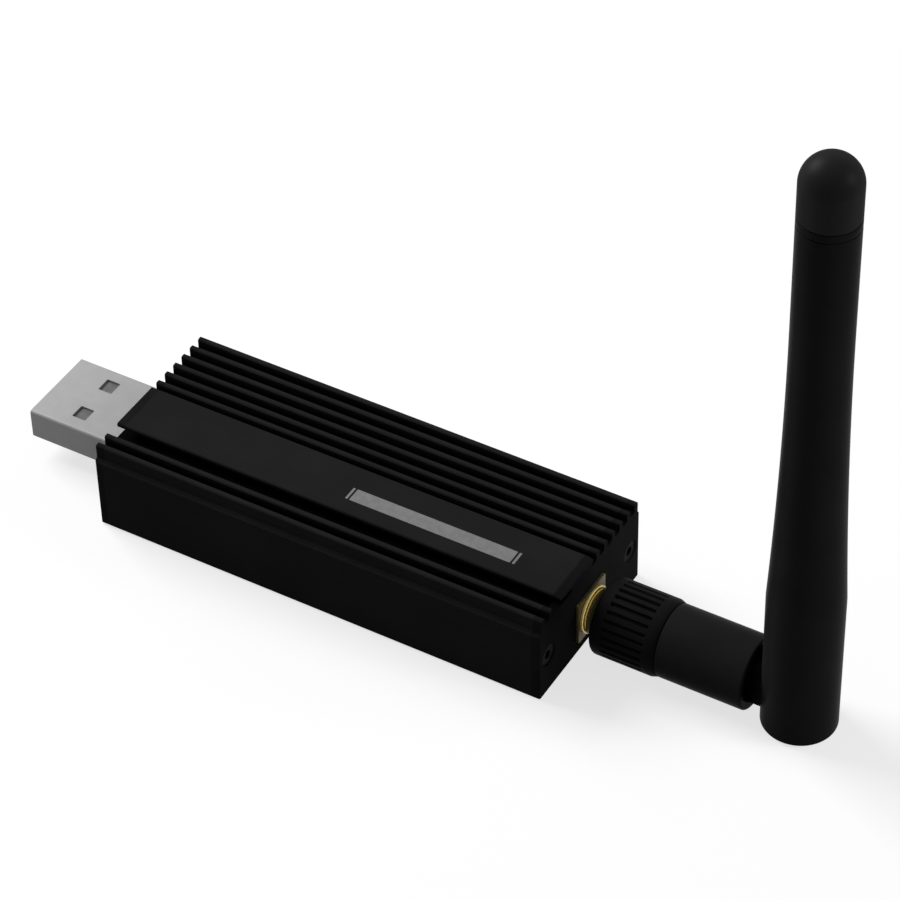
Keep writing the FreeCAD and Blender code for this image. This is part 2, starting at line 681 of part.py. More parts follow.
def elbow_base():
    body = rod(BASE_RADIUS, BASE_START, BASE_END)
    body = body.makeChamfer(BASE_EDGE, rim(body, BASE_END))
    body = body.makeChamfer(0.15, rim(body, BASE_START))
    depth = DISH_REACH - (PIVOT.x - BASE_END)
    if depth > 0:
        # a shallow cone sunk in the end lets the whip's lower corner swing past
        mouth = math.sqrt(DISH_REACH ** 2 - (PIVOT.x - BASE_END) ** 2)
        inner = mouth - depth * (PIVOT.x - BASE_END) / mouth
        dish = Part.makeCone(inner, mouth, depth, Vector(BASE_END - depth, 0, AXIS_HEIGHT), X)
        body = body.cut(dish)
    body = body.fuse(tongue())
    head_room = rod(STEM_HEAD_RADIUS + RUNNING, STEM_END - STEM_HEAD_LENGTH - SIDE_PLAY, STEM_END + SIDE_PLAY)
    body = body.cut([rod(STEM_RADIUS + RUNNING, BASE_START - 1, STEM_END), head_room])
    body = body.cut(rod(CABLE_RADIUS, STEM_END - 0.2, CABLE_BREAK + 0.2))
    # a fan-shaped slot in the tongue leaves the cable room to bend
    fan = block((CABLE_BREAK, -1.0, AXIS_HEIGHT - 1.0), (PIVOT.x + 4, 1.0, AXIS_HEIGHT + 4))
    return body.cut(fan).removeSplitter()


def tongue():
    """Flat tongue on the elbow's end, with a trunnion on each cheek."""
    half = TONGUE_THICKNESS / 2
    root = min(BASE_END - 2.0, PIVOT.x - DISH_REACH - 1.0)
    bar = block((root, -half, AXIS_HEIGHT - TONGUE_RADIUS), (PIVOT.x, half, AXIS_HEIGHT + TONGUE_RADIUS))
    nose = Part.makeCylinder(TONGUE_RADIUS, TONGUE_THICKNESS, PIVOT - Y * half, Y)
    shape = bar.fuse(nose).removeSplitter()
    shape = shape.makeChamfer(0.25, pick(shape, lambda p: abs(abs(p.y) - half) < 1e-3 and p.x > root + 0.1))
    reach = half + TRUNNION_LENGTH
    trunnion = Part.makeCylinder(TRUNNION_RADIUS, 2 * reach, PIVOT - Y * reach, Y)
    trunnion = trunnion.makeChamfer(0.25, [edge for edge in trunnion.Edges if edge.isClosed()])
    return shape.fuse(trunnion).removeSplitter()


def base_cable():
    return rod(CABLE_RADIUS, STEM_END - 3.7, CABLE_BREAK)


# Whip

def whip_tube():
    half_way = (TAPER_START + TAPER_END) / 2
    middle = WHIP_TIP_RADIUS + (WHIP_RADIUS - WHIP_TIP_RADIUS) / 4

    def at(radius, z):
        return Vector(PIVOT.x + radius, 0, z)

    path = [at(0, WHIP_FOOT), at(WHIP_RADIUS - FOOT_EDGE, WHIP_FOOT), at(WHIP_RADIUS, WHIP_FOOT + FOOT_EDGE),
            at(WHIP_RADIUS, TAPER_START)]
    edges = [Part.LineSegment(a, b).toShape() for a, b in zip(path, path[1:])]
    edges.append(Part.Arc(path[-1], at(middle, half_way), at(WHIP_TIP_RADIUS, TAPER_END)).toShape())
    path = [at(WHIP_TIP_RADIUS, TAPER_END), at(WHIP_TIP_RADIUS, BAND_FOOT - GROOVE_EDGE),
            at(WHIP_TIP_RADIUS - GROOVE_EDGE, BAND_FOOT), at(0, BAND_FOOT), at(0, WHIP_FOOT)]
    edges += [Part.LineSegment(a, b).toShape() for a, b in zip(path, path[1:])]
    tube = Part.Face(Part.Wire(edges)).revolve(PIVOT, Z, 360)
    bore_foot = AXIS_HEIGHT + TONGUE_RADIUS + 4.7
    tube = tube.cut([post(BORE, bore_foot, BAND_FOOT + 1), post(CABLE_RADIUS, AXIS_HEIGHT, bore_foot + 1)])
    # slot for the tongue, open towards the base and at the foot
    half = TONGUE_THICKNESS / 2 + SIDE_PLAY
    room = TONGUE_RADIUS + SIDE_PLAY
    reach = WHIP_RADIUS + 1
    slot = block((PIVOT.x - reach, -half, WHIP_FOOT - 1), (PIVOT.x, half, AXIS_HEIGHT + room))
    slot = slot.fuse([block((PIVOT.x - reach, -half, WHIP_FOOT - 1), (PIVOT.x + room, half, AXIS_HEIGHT)),
                      Part.makeCylinder(room, 2 * half, PIVOT - Y * half, Y)])
    reach = half + TRUNNION_LENGTH
    bearing = Part.makeCylinder(TRUNNION_RADIUS + RUNNING, 2 * reach, PIVOT - Y * reach, Y)
    return tube.cut([slot, bearing])


def band_ring():
    ring = post(WHIP_TIP_RADIUS, BAND_FOOT, CAP_FOOT)
    ring = ring.makeChamfer(GROOVE_EDGE, [edge for edge in ring.Edges if edge.isClosed()])
    return ring.cut(post(BORE, BAND_FOOT - 1, CAP_FOOT + 1))


def end_cap():
    """Domed cap, held by a hollow spigot that fills the bore of the band and the tube."""
    centre = WHIP_TIP - WHIP_TIP_RADIUS
    skirt = post(WHIP_TIP_RADIUS, CAP_FOOT, centre)
    foot_rim = [edge for edge in skirt.Edges if abs(edge.CenterOfMass.z - CAP_FOOT) < 1e-3]
    skirt = skirt.makeChamfer(GROOVE_EDGE, foot_rim)
    dome = Part.makeSphere(WHIP_TIP_RADIUS, Vector(PIVOT.x, 0, centre), Z, 0, 90, 360)
    spigot = post(BORE - SEAT, CAP_FOOT - SPIGOT_LENGTH, CAP_FOOT)
    cap = skirt.fuse([dome, spigot]).removeSplitter()
    return cap.cut(post(BORE - 0.9, CAP_FOOT - SPIGOT_LENGTH - 1, centre))


def whip_cable():
    return post(CABLE_RADIUS, AXIS_HEIGHT + TONGUE_RADIUS + 0.3, SLEEVE_TOP + 1)


def dipole_sleeve():
    """Brass tube closed at its top end around the cable."""
    inner = post(SLEEVE_RADIUS - SLEEVE_WALL, SLEEVE_FOOT - 1, SLEEVE_TOP - 0.4)
    tube = post(SLEEVE_RADIUS, SLEEVE_FOOT, SLEEVE_TOP)
    return tube.cut([inner, post(CABLE_RADIUS, SLEEVE_TOP - 1, SLEEVE_TOP + 1)])


def feed_bead():
    bead = post(BORE, SLEEVE_TOP, SLEEVE_TOP + BEAD_LENGTH)
    cable = post(CABLE_RADIUS, SLEEVE_TOP - 1, SLEEVE_TOP + 1)
    return bead.cut([cable, post(WIRE_RADIUS, SLEEVE_TOP, SLEEVE_TOP + BEAD_LENGTH + 1)])


def dipole_wire():
    """Upper half of the dipole: a straight wire that ends below the cap's spigot."""
    return post(WIRE_RADIUS, SLEEVE_TOP + 1, CAP_FOOT - SPIGOT_LENGTH - 0.75)


def build():
    parts = {
        "housing_extrusion": housing_extrusion(),
        "front_end_plate": front_end_plate(),
        "rear_end_plate": rear_end_plate(),
        "front_screw_near": plate_screw(FRONT, 1, -1),
        "front_screw_far": plate_screw(FRONT, 1, 1),
        "rear_screw_near": plate_screw(REAR, -1, -1),
        "rear_screw_far": plate_screw(REAR, -1, 1),
        "usb_shell": usb_shell(),
        "usb_insulator": usb_insulator(),
        "circuit_board": circuit_board(),
        "shield_can": shield_can(),
        "radio_chip": flat_chip(REAR - RADIO_INSET, 0, RADIO_SIDE, CHIP_HEIGHT, 9),
        "bridge_chip": flat_chip(FRONT + BRIDGE_INSET, 0.5, BRIDGE_SIDE, CHIP_HEIGHT, 6),
        "voltage_regulator": voltage_regulator(),
        "radio_crystal": crystal(REAR - 15.85, 2.2, 2.5, 2.0, 0.6),
        "clock_crystal": crystal(REAR - 15.55, -3.0, 3.2, 1.5, 0.8),
        "power_light": status_light(FRONT + 8.35),
        "radio_light": status_light(FRONT + 11.85),
        "bulk_capacitor": bulk_capacitor(),
        "small_capacitors": small_capacitors(),
        "matching_coils": matching_coils(),
        "jack_body": jack_body(),
        "jack_insulator": jack_insulator(),
        "jack_contact": jack_contact(),
        "knurled_collar": knurled_collar(),
        "coupling_nut": coupling_nut(),
        "plug_ferrule": plug_ferrule(),
        "plug_insulator": plug_insulator(),
        "plug_pin": plug_pin(),
        "snap_ring": snap_ring(),
        "sealing_ring": sealing_ring(),
        "elbow_base": elbow_base(),
        "base_cable": base_cable(),
        "whip_tube": whip_tube(),
        "band_ring": band_ring(),
        "end_cap": end_cap(),
        "whip_cable": whip_cable(),
        "dipole_sleeve": dipole_sleeve(),
        "feed_bead": feed_bead(),
        "dipole_wire": dipole_wire(),
    }
    for place in range(4):
        parts[f"usb_contact_{place + 1}"] = usb_contact(place)
    return parts


os.makedirs("parts", exist_ok=True)
for name, shape in build().items():
    if not shape.isValid():
        print("not valid:", name)
    shape.exportStep("parts/" + name + ".step")
    print(name, len(shape.Solids), round(shape.Volume, 2))
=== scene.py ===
import math

import bmesh
import bpy
from mathutils import Matrix, Vector


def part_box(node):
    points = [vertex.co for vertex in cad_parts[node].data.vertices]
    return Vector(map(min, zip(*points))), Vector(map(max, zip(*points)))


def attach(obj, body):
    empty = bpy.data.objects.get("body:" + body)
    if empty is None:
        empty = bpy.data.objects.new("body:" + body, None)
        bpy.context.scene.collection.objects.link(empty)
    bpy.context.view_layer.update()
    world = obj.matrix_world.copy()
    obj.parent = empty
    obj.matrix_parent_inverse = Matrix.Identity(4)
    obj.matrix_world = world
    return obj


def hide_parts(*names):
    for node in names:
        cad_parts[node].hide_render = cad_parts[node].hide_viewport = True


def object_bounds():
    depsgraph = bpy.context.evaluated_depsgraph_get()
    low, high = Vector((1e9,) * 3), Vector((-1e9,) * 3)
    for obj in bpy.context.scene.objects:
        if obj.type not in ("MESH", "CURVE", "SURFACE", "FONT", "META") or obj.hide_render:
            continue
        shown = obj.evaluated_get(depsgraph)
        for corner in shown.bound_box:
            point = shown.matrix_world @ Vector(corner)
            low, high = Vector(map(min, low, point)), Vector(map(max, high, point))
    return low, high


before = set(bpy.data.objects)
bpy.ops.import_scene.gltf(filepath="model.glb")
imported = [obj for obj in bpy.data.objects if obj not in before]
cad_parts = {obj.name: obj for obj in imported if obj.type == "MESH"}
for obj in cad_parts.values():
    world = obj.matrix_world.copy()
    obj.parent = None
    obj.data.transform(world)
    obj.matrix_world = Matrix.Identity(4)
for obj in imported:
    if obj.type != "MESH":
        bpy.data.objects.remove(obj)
bpy.context.view_layer.update()
cad_low, cad_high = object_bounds()

# The view. A long lens looks down on the stick from its antenna end, over the side with the
# undercut slot, as in the photograph. The camera leans a little to one side.
MM = 0.001
VIEW_PLACE = (191.95 * MM, -292.5 * MM, 334.5 * MM)
VIEW_AZIMUTH = 31.50
VIEW_ELEVATION = 42.29
VIEW_LEAN = -1.54
SENSOR_WIDTH = 36.0
LENS_IN_SENSOR_WIDTHS = 4.217

scene = bpy.context.scene
scene.view_settings.view_transform = "Standard"
lens = bpy.data.cameras.new("view")
lens.sensor_width = SENSOR_WIDTH
lens.lens = LENS_IN_SENSOR_WIDTHS * SENSOR_WIDTH
lens.clip_start = 10 * MM
lens.clip_end = 20.0
camera = bpy.data.objects.new("view", lens)
scene.collection.objects.link(camera)
turn = Matrix.Rotation(math.radians(VIEW_AZIMUTH), 4, "Z")
tilt = Matrix.Rotation(math.radians(90.0 - VIEW_ELEVATION), 4, "X")
lean = Matrix.Rotation(math.radians(VIEW_LEAN), 4, "Z")
camera.matrix_world = Matrix.Translation(VIEW_PLACE) @ turn @ tilt @ lean
scene.camera = camera


# The light. A soft lamp hangs high over the plug end and a little to the far side, so tops are
# bright and the slots between the fins stay dark; a weaker one fills in the antenna end.
LIT_SPOT = Vector((0.01, 0.0, 0.02))


def soft_lamp(name, place, size, power):
    """Square area lamp that points at the stick."""
    lamp = bpy.data.lights.new(name, "AREA")
    lamp.shape = "SQUARE"
    lamp.size = size
    lamp.energy = power
    place = Vector(place)
    aim = (LIT_SPOT - place).to_track_quat("-Z", "Y").to_matrix().to_4x4()
    holder = bpy.data.objects.new(name, lamp)
    scene.collection.objects.link(holder)
    holder.matrix_world = Matrix.Translation(place) @ aim


soft_lamp("overhead_lamp", place=(-0.60, 0.08, 0.56), size=0.46, power=7.2)
soft_lamp("end_lamp", place=(0.72, 0.22, 0.37), size=0.24, power=2.1)


# The room. Its light is a dim even grey; the camera, reflections and see-through pieces look at
# white. The floor is grey to scattered light, looks white to the same three, and keeps the shadow.
ROOM_LIGHT = 0.19
FLOOR_SIDE = 6.0
FLOOR_GREY = 0.30
FLOOR_GLOW = 0.72


class Socket:
    """One output of a material's nodes. Arithmetic on it adds Math nodes."""

    def __init__(self, tree, output=None):
        self.tree = tree
        self.output = output

    def node(self, kind, settings, inputs, output=0):
        """Adds a node: its settings first, then the values or links of its sockets."""
        made = self.tree.nodes.new("ShaderNode" + kind)
        for name, value in settings.items():
            setattr(made, name, value)
        for name, value in inputs.items():
            if isinstance(value, Socket):
                self.tree.links.new(value.output, made.inputs[name])
            else:
                made.inputs[name].default_value = value
        return Socket(self.tree, made.outputs[output])

    def math(self, operation, first, second):
        return self.node("Math", {"operation": operation}, {0: first, 1: second})

    def __add__(self, other):
        return self.math("ADD", self, other)

    __radd__ = __add__

    def __sub__(self, other):
        return self.math("SUBTRACT", self, other)

    def __rsub__(self, other):
        return self.math("SUBTRACT", other, self)

    def __mul__(self, other):
        return self.math("MULTIPLY", self, other)

    __rmul__ = __mul__

    def between(self, low, high):
        """0 below low, 1 above high, and a smooth step in between."""
        settings = {"interpolation_type": "SMOOTHSTEP"}
        return self.node("MapRange", settings, {"Value": self, "From Min": low, "From Max": high})

    def feed(self, shader, name):
        """Links this output to a socket of a shader."""
        self.tree.links.new(self.output, shader.inputs[name])


room = bpy.data.worlds.new("room")
scene.world = room
room.use_nodes = True
air = Socket(room.node_tree)


def looked_at(start):
    """1 where the camera, a reflection or a see-through piece looks, otherwise 0."""
    rays = [start.node("LightPath", {}, {}, name)
            for name in ("Is Camera Ray", "Is Glossy Ray", "Is Transmission Ray")]
    return start.node("Clamp", {}, {0: rays[0] + rays[1] + rays[2]})


sky = room.node_tree.nodes["Background"]
sky.inputs["Color"].default_value = (1.0, 1.0, 1.0, 1.0)
(ROOM_LIGHT + (1.0 - ROOM_LIGHT) * looked_at(air)).feed(sky, "Strength")

bpy.ops.object.select_all(action="DESELECT")
bpy.ops.mesh.primitive_plane_add(size=FLOOR_SIDE, location=(0.0, 0.0, cad_low[2]))
floor = bpy.context.object
floor.name = "floor"
paint = bpy.data.materials.new("pale_floor")
paint.use_nodes = True
floor.data.materials.append(paint)
ground = Socket(paint.node_tree)
floor_shader = paint.node_tree.nodes["Principled BSDF"]
floor_shader.inputs["Roughness"].default_value = 0.9
floor_shader.inputs["Specular IOR Level"].default_value = 0.0
floor_shader.inputs["Base Color"].default_value = (FLOOR_GREY, FLOOR_GREY, FLOOR_GREY, 1.0)
floor_shader.inputs["Emission Strength"].default_value = FLOOR_GLOW
unseen_and_seen = {0: looked_at(ground), 6: (0.0, 0.0, 0.0, 1.0), 7: (1.0, 1.0, 1.0, 1.0)}
ground.node("Mix", {"data_type": "RGBA"}, unseen_and_seen, 2).feed(floor_shader, "Emission Color")


# The circuit board. Green solder mask over copper tracks, which show through as slightly raised
# and paler lines; it slides into the housing on two rails.


class Finish:
    """A surface finish: a material whose plain values are set on the shader's own sockets."""

    def __init__(self, name, colour, roughness, metallic=0.0, gloss=0.5):
        self.material = bpy.data.materials.new(name)
        self.material.use_nodes = True
        self.shader = self.material.node_tree.nodes["Principled BSDF"]
        self.start = Socket(self.material.node_tree)
        self.colour = (*colour, 1.0)
        self.shader.inputs["Base Color"].default_value = self.colour
        self.shader.inputs["Roughness"].default_value = roughness
        self.shader.inputs["Metallic"].default_value = metallic
        self.shader.inputs["Specular IOR Level"].default_value = gloss

    def place(self, stretch=(1.0, 1.0, 1.0)):
        """Object coordinates in millimetres, stretched along the axes."""
        spot = self.start.node("TexCoord", {}, {}, "Object")
        scale = tuple(value / MM for value in stretch)
        return spot.node("Mapping", {}, {"Vector": spot, "Scale": scale})

    def cloud(self, per_mm, stretch=(1.0, 1.0, 1.0), detail=2.0):
        """Cloudy pattern from 0 to 1, with about so many spots per millimetre."""
        inputs = {"Vector": self.place(stretch), "Scale": per_mm, "Detail": detail}
        return self.start.node("TexNoise", {}, inputs)

    def tint(self, amount, other):
        """Shades the colour so far towards another where amount is high."""
        inputs = {0: amount, 6: self.colour, 7: (*other, 1.0)}
        self.colour = self.start.node("Mix", {"data_type": "RGBA"}, inputs, 2)
        self.colour.feed(self.shader, "Base Color")

    def rough(self, signal):
        signal.feed(self.shader, "Roughness")

    def grain(self, height, depth):
        """Bumps the surface by a pattern whose full swing is so many millimetres."""
        inputs = {"Height": height, "Distance": depth * MM, "Strength": 1.0}
        self.start.node("Bump", {}, inputs).feed(self.shader, "Normal")

    def on(self, *names):
        """Puts the finish on solids of the frame."""
        for name in names:
            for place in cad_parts[name].material_slots:
                place.material = self.material


mask = Finish("board_mask", (0.008, 0.055, 0.025), 0.35)
tracks = mask.start.node("TexBrick", {}, {"Vector": mask.place(), "Scale": 0.8, "Mortar Size": 0.06}, 1)
mask.tint(tracks, (0.02, 0.12, 0.05))
mask.rough(0.30 + 0.12 * mask.cloud(3.0))
mask.grain(tracks, 0.03)
mask.on("circuit_board")

# The chips and the regulator. Black moulded packages with a sandy top, soldered to the board.
package = Finish("chip_black", (0.02, 0.02, 0.021), 0.6, gloss=0.3)
package.tint(package.cloud(1.5).between(0.4, 0.7), (0.028, 0.028, 0.029))
package.rough(0.52 + 0.16 * package.cloud(8.0))
package.grain(package.cloud(10.0), 0.01)
package.on("radio_chip", "bridge_chip", "voltage_regulator")

# The shield can and the crystals. Thin tinned steel with a cloudy shine, pressed and soldered on.
tin = Finish("tinplate", (0.58, 0.58, 0.57), 0.3, metallic=0.9)
tin.tint(tin.cloud(0.6).between(0.35, 0.75), (0.66, 0.66, 0.64))
tin.rough(0.22 + 0.22 * tin.cloud(1.2))
tin.grain(tin.cloud(0.8), 0.02)
tin.on("shield_can", "radio_crystal", "clock_crystal")

# The small parts of the board. Two lights with clear tops, an ochre capacitor in a moulded case,
# brown fired capacitors and grey coils, each soldered by its ends.
clear = Finish("light_lens", (0.72, 0.76, 0.68), 0.2)
clear.tint(clear.cloud(2.0).between(0.4, 0.7), (0.78, 0.80, 0.74))
clear.rough(0.14 + 0.14 * clear.cloud(4.0))
clear.on("power_light", "radio_light")
ochre = Finish("tantalum_case", (0.45, 0.25, 0.05), 0.5)
ochre.tint(ochre.cloud(2.0).between(0.4, 0.7), (0.52, 0.31, 0.08))
ochre.rough(0.44 + 0.14 * ochre.cloud(6.0))
ochre.on("bulk_capacitor")
fired = Finish("ceramic_brown", (0.25, 0.17, 0.10), 0.45)
fired.tint(fired.cloud(2.5).between(0.4, 0.7), (0.31, 0.22, 0.14))
fired.rough(0.38 + 0.16 * fired.cloud(5.0))
fired.on("small_capacitors")
ferrite = Finish("coil_grey", (0.20, 0.21, 0.22), 0.45)
ferrite.tint(ferrite.cloud(2.5).between(0.4, 0.7), (0.26, 0.27, 0.28))
ferrite.rough(0.38 + 0.16 * ferrite.cloud(5.0))
ferrite.on("matching_coils")

# The housing. One aluminium extrusion with cooling fins and a flat panel over an undercut channel;
# it is blasted fine and anodised black, and still shows faint draw lines along its length. Low down
# between the fins and under the panel's lip the colour is painted darker: painted shade.
SLOT_MOUTH = 12.7  # these four are in millimetres, as the finish's own coordinates are
SLOT_MIDDLE = 11.7
BELOW_SLOTS = 8.5
OUTER_FINS = 12.05


# the mask of painted shade low down between the fins and under the panel's lip
def painted_slot_shade(finish):
    """1 on walls low down between the fins and under the panel's lip, and 0 everywhere else."""
    spot = finish.place()
    way = spot.node("TexCoord", {}, {}, "Normal")
    endwise = spot.math("ABSOLUTE", spot.node("SeparateXYZ", {}, {0: way}, "X"), 0.0)
    across = spot.math("ABSOLUTE", spot.node("SeparateXYZ", {}, {0: spot}, "Y"), 0.0)
    height = spot.node("SeparateXYZ", {}, {0: spot}, "Z")
    inside = 1.0 - across.between(OUTER_FINS, OUTER_FINS + 0.08)
    above_floor = height.between(BELOW_SLOTS - 0.5, BELOW_SLOTS)
    low_down = above_floor - height.between(SLOT_MIDDLE, SLOT_MOUTH)
    return inside * low_down * (1.0 - endwise.between(0.4, 0.7))


anodised = Finish("anodised_black", (0.0140, 0.0140, 0.0145), 0.55, gloss=0.004)
draw_lines = anodised.cloud(6.0, (0.02, 1.0, 1.0), 3.0)
blasting = anodised.cloud(9.0)
streaks = anodised.cloud(0.12) * 0.7 + draw_lines * 0.3
anodised.tint(streaks.between(0.3, 0.75), (0.0172, 0.0172, 0.0177))
# painted shade: the walls low down between the fins and under the panel's lip are darkened
anodised.tint(painted_slot_shade(anodised), (0.0030, 0.0030, 0.0031))
anodised.rough(0.47 + 0.16 * blasting)
anodised.grain(0.5 * draw_lines + 0.5 * blasting, 0.012)
anodised.on("housing_extrusion")

# The end plates. Two flat pieces cut to the housing's outline and anodised with it; their faces are
# rougher than the drawn sides, and each is held by two screws.
cut_black = Finish("cut_black", (0.0105, 0.0105, 0.0108), 0.6, gloss=0.003)
cut_grain = cut_black.cloud(7.0)
cut_black.tint(cut_black.cloud(0.3).between(0.35, 0.7), (0.0128, 0.0128, 0.0131))
# painted shade: the plates are darkened low down between the fins, as the housing is
cut_black.tint(painted_slot_shade(cut_black), (0.0028, 0.0028, 0.0029))
cut_black.rough(0.52 + 0.16 * cut_grain)
cut_black.grain(cut_grain, 0.012)
cut_black.on("front_end_plate", "rear_end_plate")

# The plate screws. Countersunk steel screws with a blackened finish and a six-sided socket.
blackened = Finish("screw_black", (0.0090, 0.0090, 0.0096), 0.42, gloss=0.012)
blackened.tint(blackened.cloud(2.0).between(0.4, 0.7), (0.0125, 0.0125, 0.0132))
blackened.rough(0.36 + 0.16 * blackened.cloud(8.0))
blackened.grain(blackened.cloud(12.0), 0.008)
blackened.on("front_screw_near", "front_screw_far", "rear_screw_near", "rear_screw_far")


# The printed bar. A plain bar with a stripe at each end, screen printed in pale grey ink on the
# panel; the ink stands a hundredth of a millimetre proud.
BAR_START = 0.9 * MM
BAR_END = 23.9 * MM
BAR_NEAR = -5.08 * MM
BAR_FAR = -2.93 * MM
STRIPE = 0.32 * MM
STRIPE_GAP = 0.28 * MM
BAR_CORNER = 0.1 * MM
INK = 0.01 * MM
PANEL_TOP = 12.9 * MM
SMOOTH_ANGLE = 35.0
EDGE_ANGLE = 50.0


def fresh():
    """Leaves edit mode and deselects everything."""
    if bpy.context.mode != "OBJECT":
        bpy.ops.object.mode_set(mode="OBJECT")
    bpy.ops.object.select_all(action="DESELECT")


def edit(piece):
    """Opens one piece in edit mode with all of it selected."""
    fresh()
    bpy.context.view_layer.objects.active = piece
    piece.select_set(True)
    bpy.ops.object.mode_set(mode="EDIT")
    bpy.ops.mesh.select_all(action="SELECT")


def choose(piece, kind, test):
    """In edit mode, selects the vertices, edges or faces that pass a test, and nothing else."""
    bpy.ops.mesh.select_mode(type=kind)
    bpy.ops.mesh.select_all(action="DESELECT")
    shape = bmesh.from_edit_mesh(piece.data)
    for part in {"VERT": shape.verts, "EDGE": shape.edges, "FACE": shape.faces}[kind]:
        if test(part):
            part.select_set(True)
    shape.select_flush_mode()
    bmesh.update_edit_mesh(piece.data)


def lies_along(edge, axis):
    """Whether an edge runs along one axis."""
    way = edge.verts[1].co - edge.verts[0].co
    return abs(way[axis]) > 0.999 * way.length


def set_in_mesh():
    """Moves the place, turn and scale of the new piece into its mesh, and hands the piece over."""
    bpy.ops.object.transform_apply(location=True, rotation=True, scale=True)
    return bpy.context.object


def block(low, high):
    """Box between two corners."""
    fresh()
    low = Vector(low)
    high = Vector(high)
    bpy.ops.mesh.primitive_cube_add(size=1.0, location=(low + high) / 2, scale=high - low)
    return set_in_mesh()


def combine(piece, tool, operation):
    """Cuts a tool out of a piece, joins it on or keeps what both share, and removes the tool."""
    fresh()
    bpy.context.view_layer.objects.active = piece
    joint = piece.modifiers.new("joint", "BOOLEAN")
    joint.operation = operation
    joint.object = tool
    bpy.ops.object.modifier_apply(modifier=joint.name)
    bpy.data.objects.remove(tool)


def soften(piece, width, segments=2):
    """Rounds every sharp edge of a piece by a small width."""
    fresh()
    bpy.context.view_layer.objects.active = piece
    rounding = piece.modifiers.new("rounding", "BEVEL")
    rounding.width = width
    rounding.segments = segments
    rounding.limit_method = "ANGLE"
    rounding.angle_limit = math.radians(EDGE_ANGLE)
    bpy.ops.object.modifier_apply(modifier=rounding.name)


def fit(piece, name, body, node, finish):
    """Names a finished piece, smooths it, gives it its finish and puts it in place of its solid."""
    fresh()
    piece.name = name
    piece.select_set(True)
    bpy.context.view_layer.objects.active = piece
    bpy.ops.object.shade_smooth_by_angle(angle=math.radians(SMOOTH_ANGLE))
    even = piece.modifiers.new("even", "WEIGHTED_NORMAL")
    even.keep_sharp = True
    bpy.ops.object.modifier_apply(modifier=even.name)
    piece.data.materials.clear()
    piece.data.materials.append(finish.material)
    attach(piece, body)
    if node:
        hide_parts(node)


ink = Finish("pale_ink", (0.178, 0.178, 0.178), 0.6, gloss=0.1)
ink.tint(ink.cloud(1.0).between(0.35, 0.7), (0.205, 0.205, 0.205))
ink.rough(0.55 + 0.12 * ink.cloud(6.0))
stretches = [(BAR_START - STRIPE_GAP - STRIPE, BAR_START - STRIPE_GAP), (BAR_START, BAR_END),
             (BAR_END + STRIPE_GAP, BAR_END + STRIPE_GAP + STRIPE)]
for number, (start, end) in enumerate(stretches):
    print_piece = block((start, BAR_NEAR, PANEL_TOP - INK), (end, BAR_FAR, PANEL_TOP + INK))
    edit(print_piece)
    choose(print_piece, "EDGE", lambda edge: lies_along(edge, 2))
    bpy.ops.mesh.bevel(offset=BAR_CORNER, segments=3, affect="EDGES")
    fit(print_piece, f"printed_bar_{number + 1}", "housing", None, ink)

# The plug shell. Folded nickel-plated steel with rounded bends, two catch holes in the top and two
# in the underside, a folded seam underneath, and a leg at each side that is soldered to the board.
SHELL_CORNER = 0.4 * MM
SHELL_WALL = 0.3 * MM
SHELL_BACK = -28.95 * MM
SHELL_FOOT = 2.88 * MM
SHELL_TOP = 7.38 * MM
CATCH_START = -42.15 * MM
CATCH_END = -40.10 * MM
CATCH_SPREAD = 3.0 * MM
CATCH_WIDTH = 2.2 * MM
CATCH_CORNER = 0.15 * MM
SEAM_WIDTH = 0.08 * MM
SEAM_DEPTH = 0.12 * MM
SHELL_LEG_ROOT = 0.5 * MM
SHELL_LEG_HEIGHT = 2.8 * MM
SHEET_EDGE = 0.05 * MM

shell_low, shell_high = [Vector(corner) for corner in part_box("usb_shell")]
shell = block((shell_low.x, shell_low.y, SHELL_FOOT), (SHELL_BACK, shell_high.y, SHELL_TOP))
edit(shell)
choose(shell, "EDGE", lambda edge: lies_along(edge, 0))
bpy.ops.mesh.bevel(offset=SHELL_CORNER, segments=6, affect="EDGES")
choose(shell, "FACE", lambda face: abs(face.normal.x) > 0.9)
bpy.ops.mesh.delete(type="FACE")
fresh()
bpy.context.view_layer.objects.active = shell
wall = shell.modifiers.new("wall", "SOLIDIFY")
wall.thickness = SHELL_WALL
wall.offset = -1.0
wall.use_even_offset = True
bpy.ops.object.modifier_apply(modifier=wall.name)
for hand in (-1, 1):
    middle = hand * CATCH_SPREAD
    hole = block((CATCH_START, middle - CATCH_WIDTH / 2, SHELL_FOOT - 1 * MM),
                 (CATCH_END, middle + CATCH_WIDTH / 2, SHELL_TOP + 1 * MM))
    edit(hole)
    choose(hole, "EDGE", lambda edge: lies_along(edge, 2))
    bpy.ops.mesh.bevel(offset=CATCH_CORNER, segments=3, affect="EDGES")
    combine(shell, hole, "DIFFERENCE")
seam = block((shell_low.x - 1 * MM, -SEAM_WIDTH / 2, SHELL_FOOT - 1 * MM),
             (SHELL_BACK + 1 * MM, SEAM_WIDTH / 2, SHELL_FOOT + SEAM_DEPTH))
combine(shell, seam, "DIFFERENCE")
for hand in (-1, 1):
    inner = hand * (shell_high.y - SHELL_WALL)
    outer = hand * shell_high.y
    leg = block((SHELL_BACK - SHELL_LEG_ROOT, min(inner, outer), shell_low.z),
                (shell_high.x, max(inner, outer), shell_low.z + SHELL_LEG_HEIGHT))
    combine(shell, leg, "UNION")
soften(shell, SHEET_EDGE)

nickel = Finish("plug_steel", (0.38, 0.38, 0.385), 0.42, metallic=0.08, gloss=0.06)
rolling = nickel.cloud(8.0, (0.06, 1.0, 1.0), 3.0)
dulled = nickel.cloud(0.5) * 0.6 + rolling * 0.4
nickel.tint(dulled.between(0.3, 0.8), (0.415, 0.415, 0.42))
nickel.rough(0.36 + 0.14 * rolling)
nickel.grain(rolling, 0.006)
fit(shell, "plug_shell", "housing", "usb_shell", nickel)

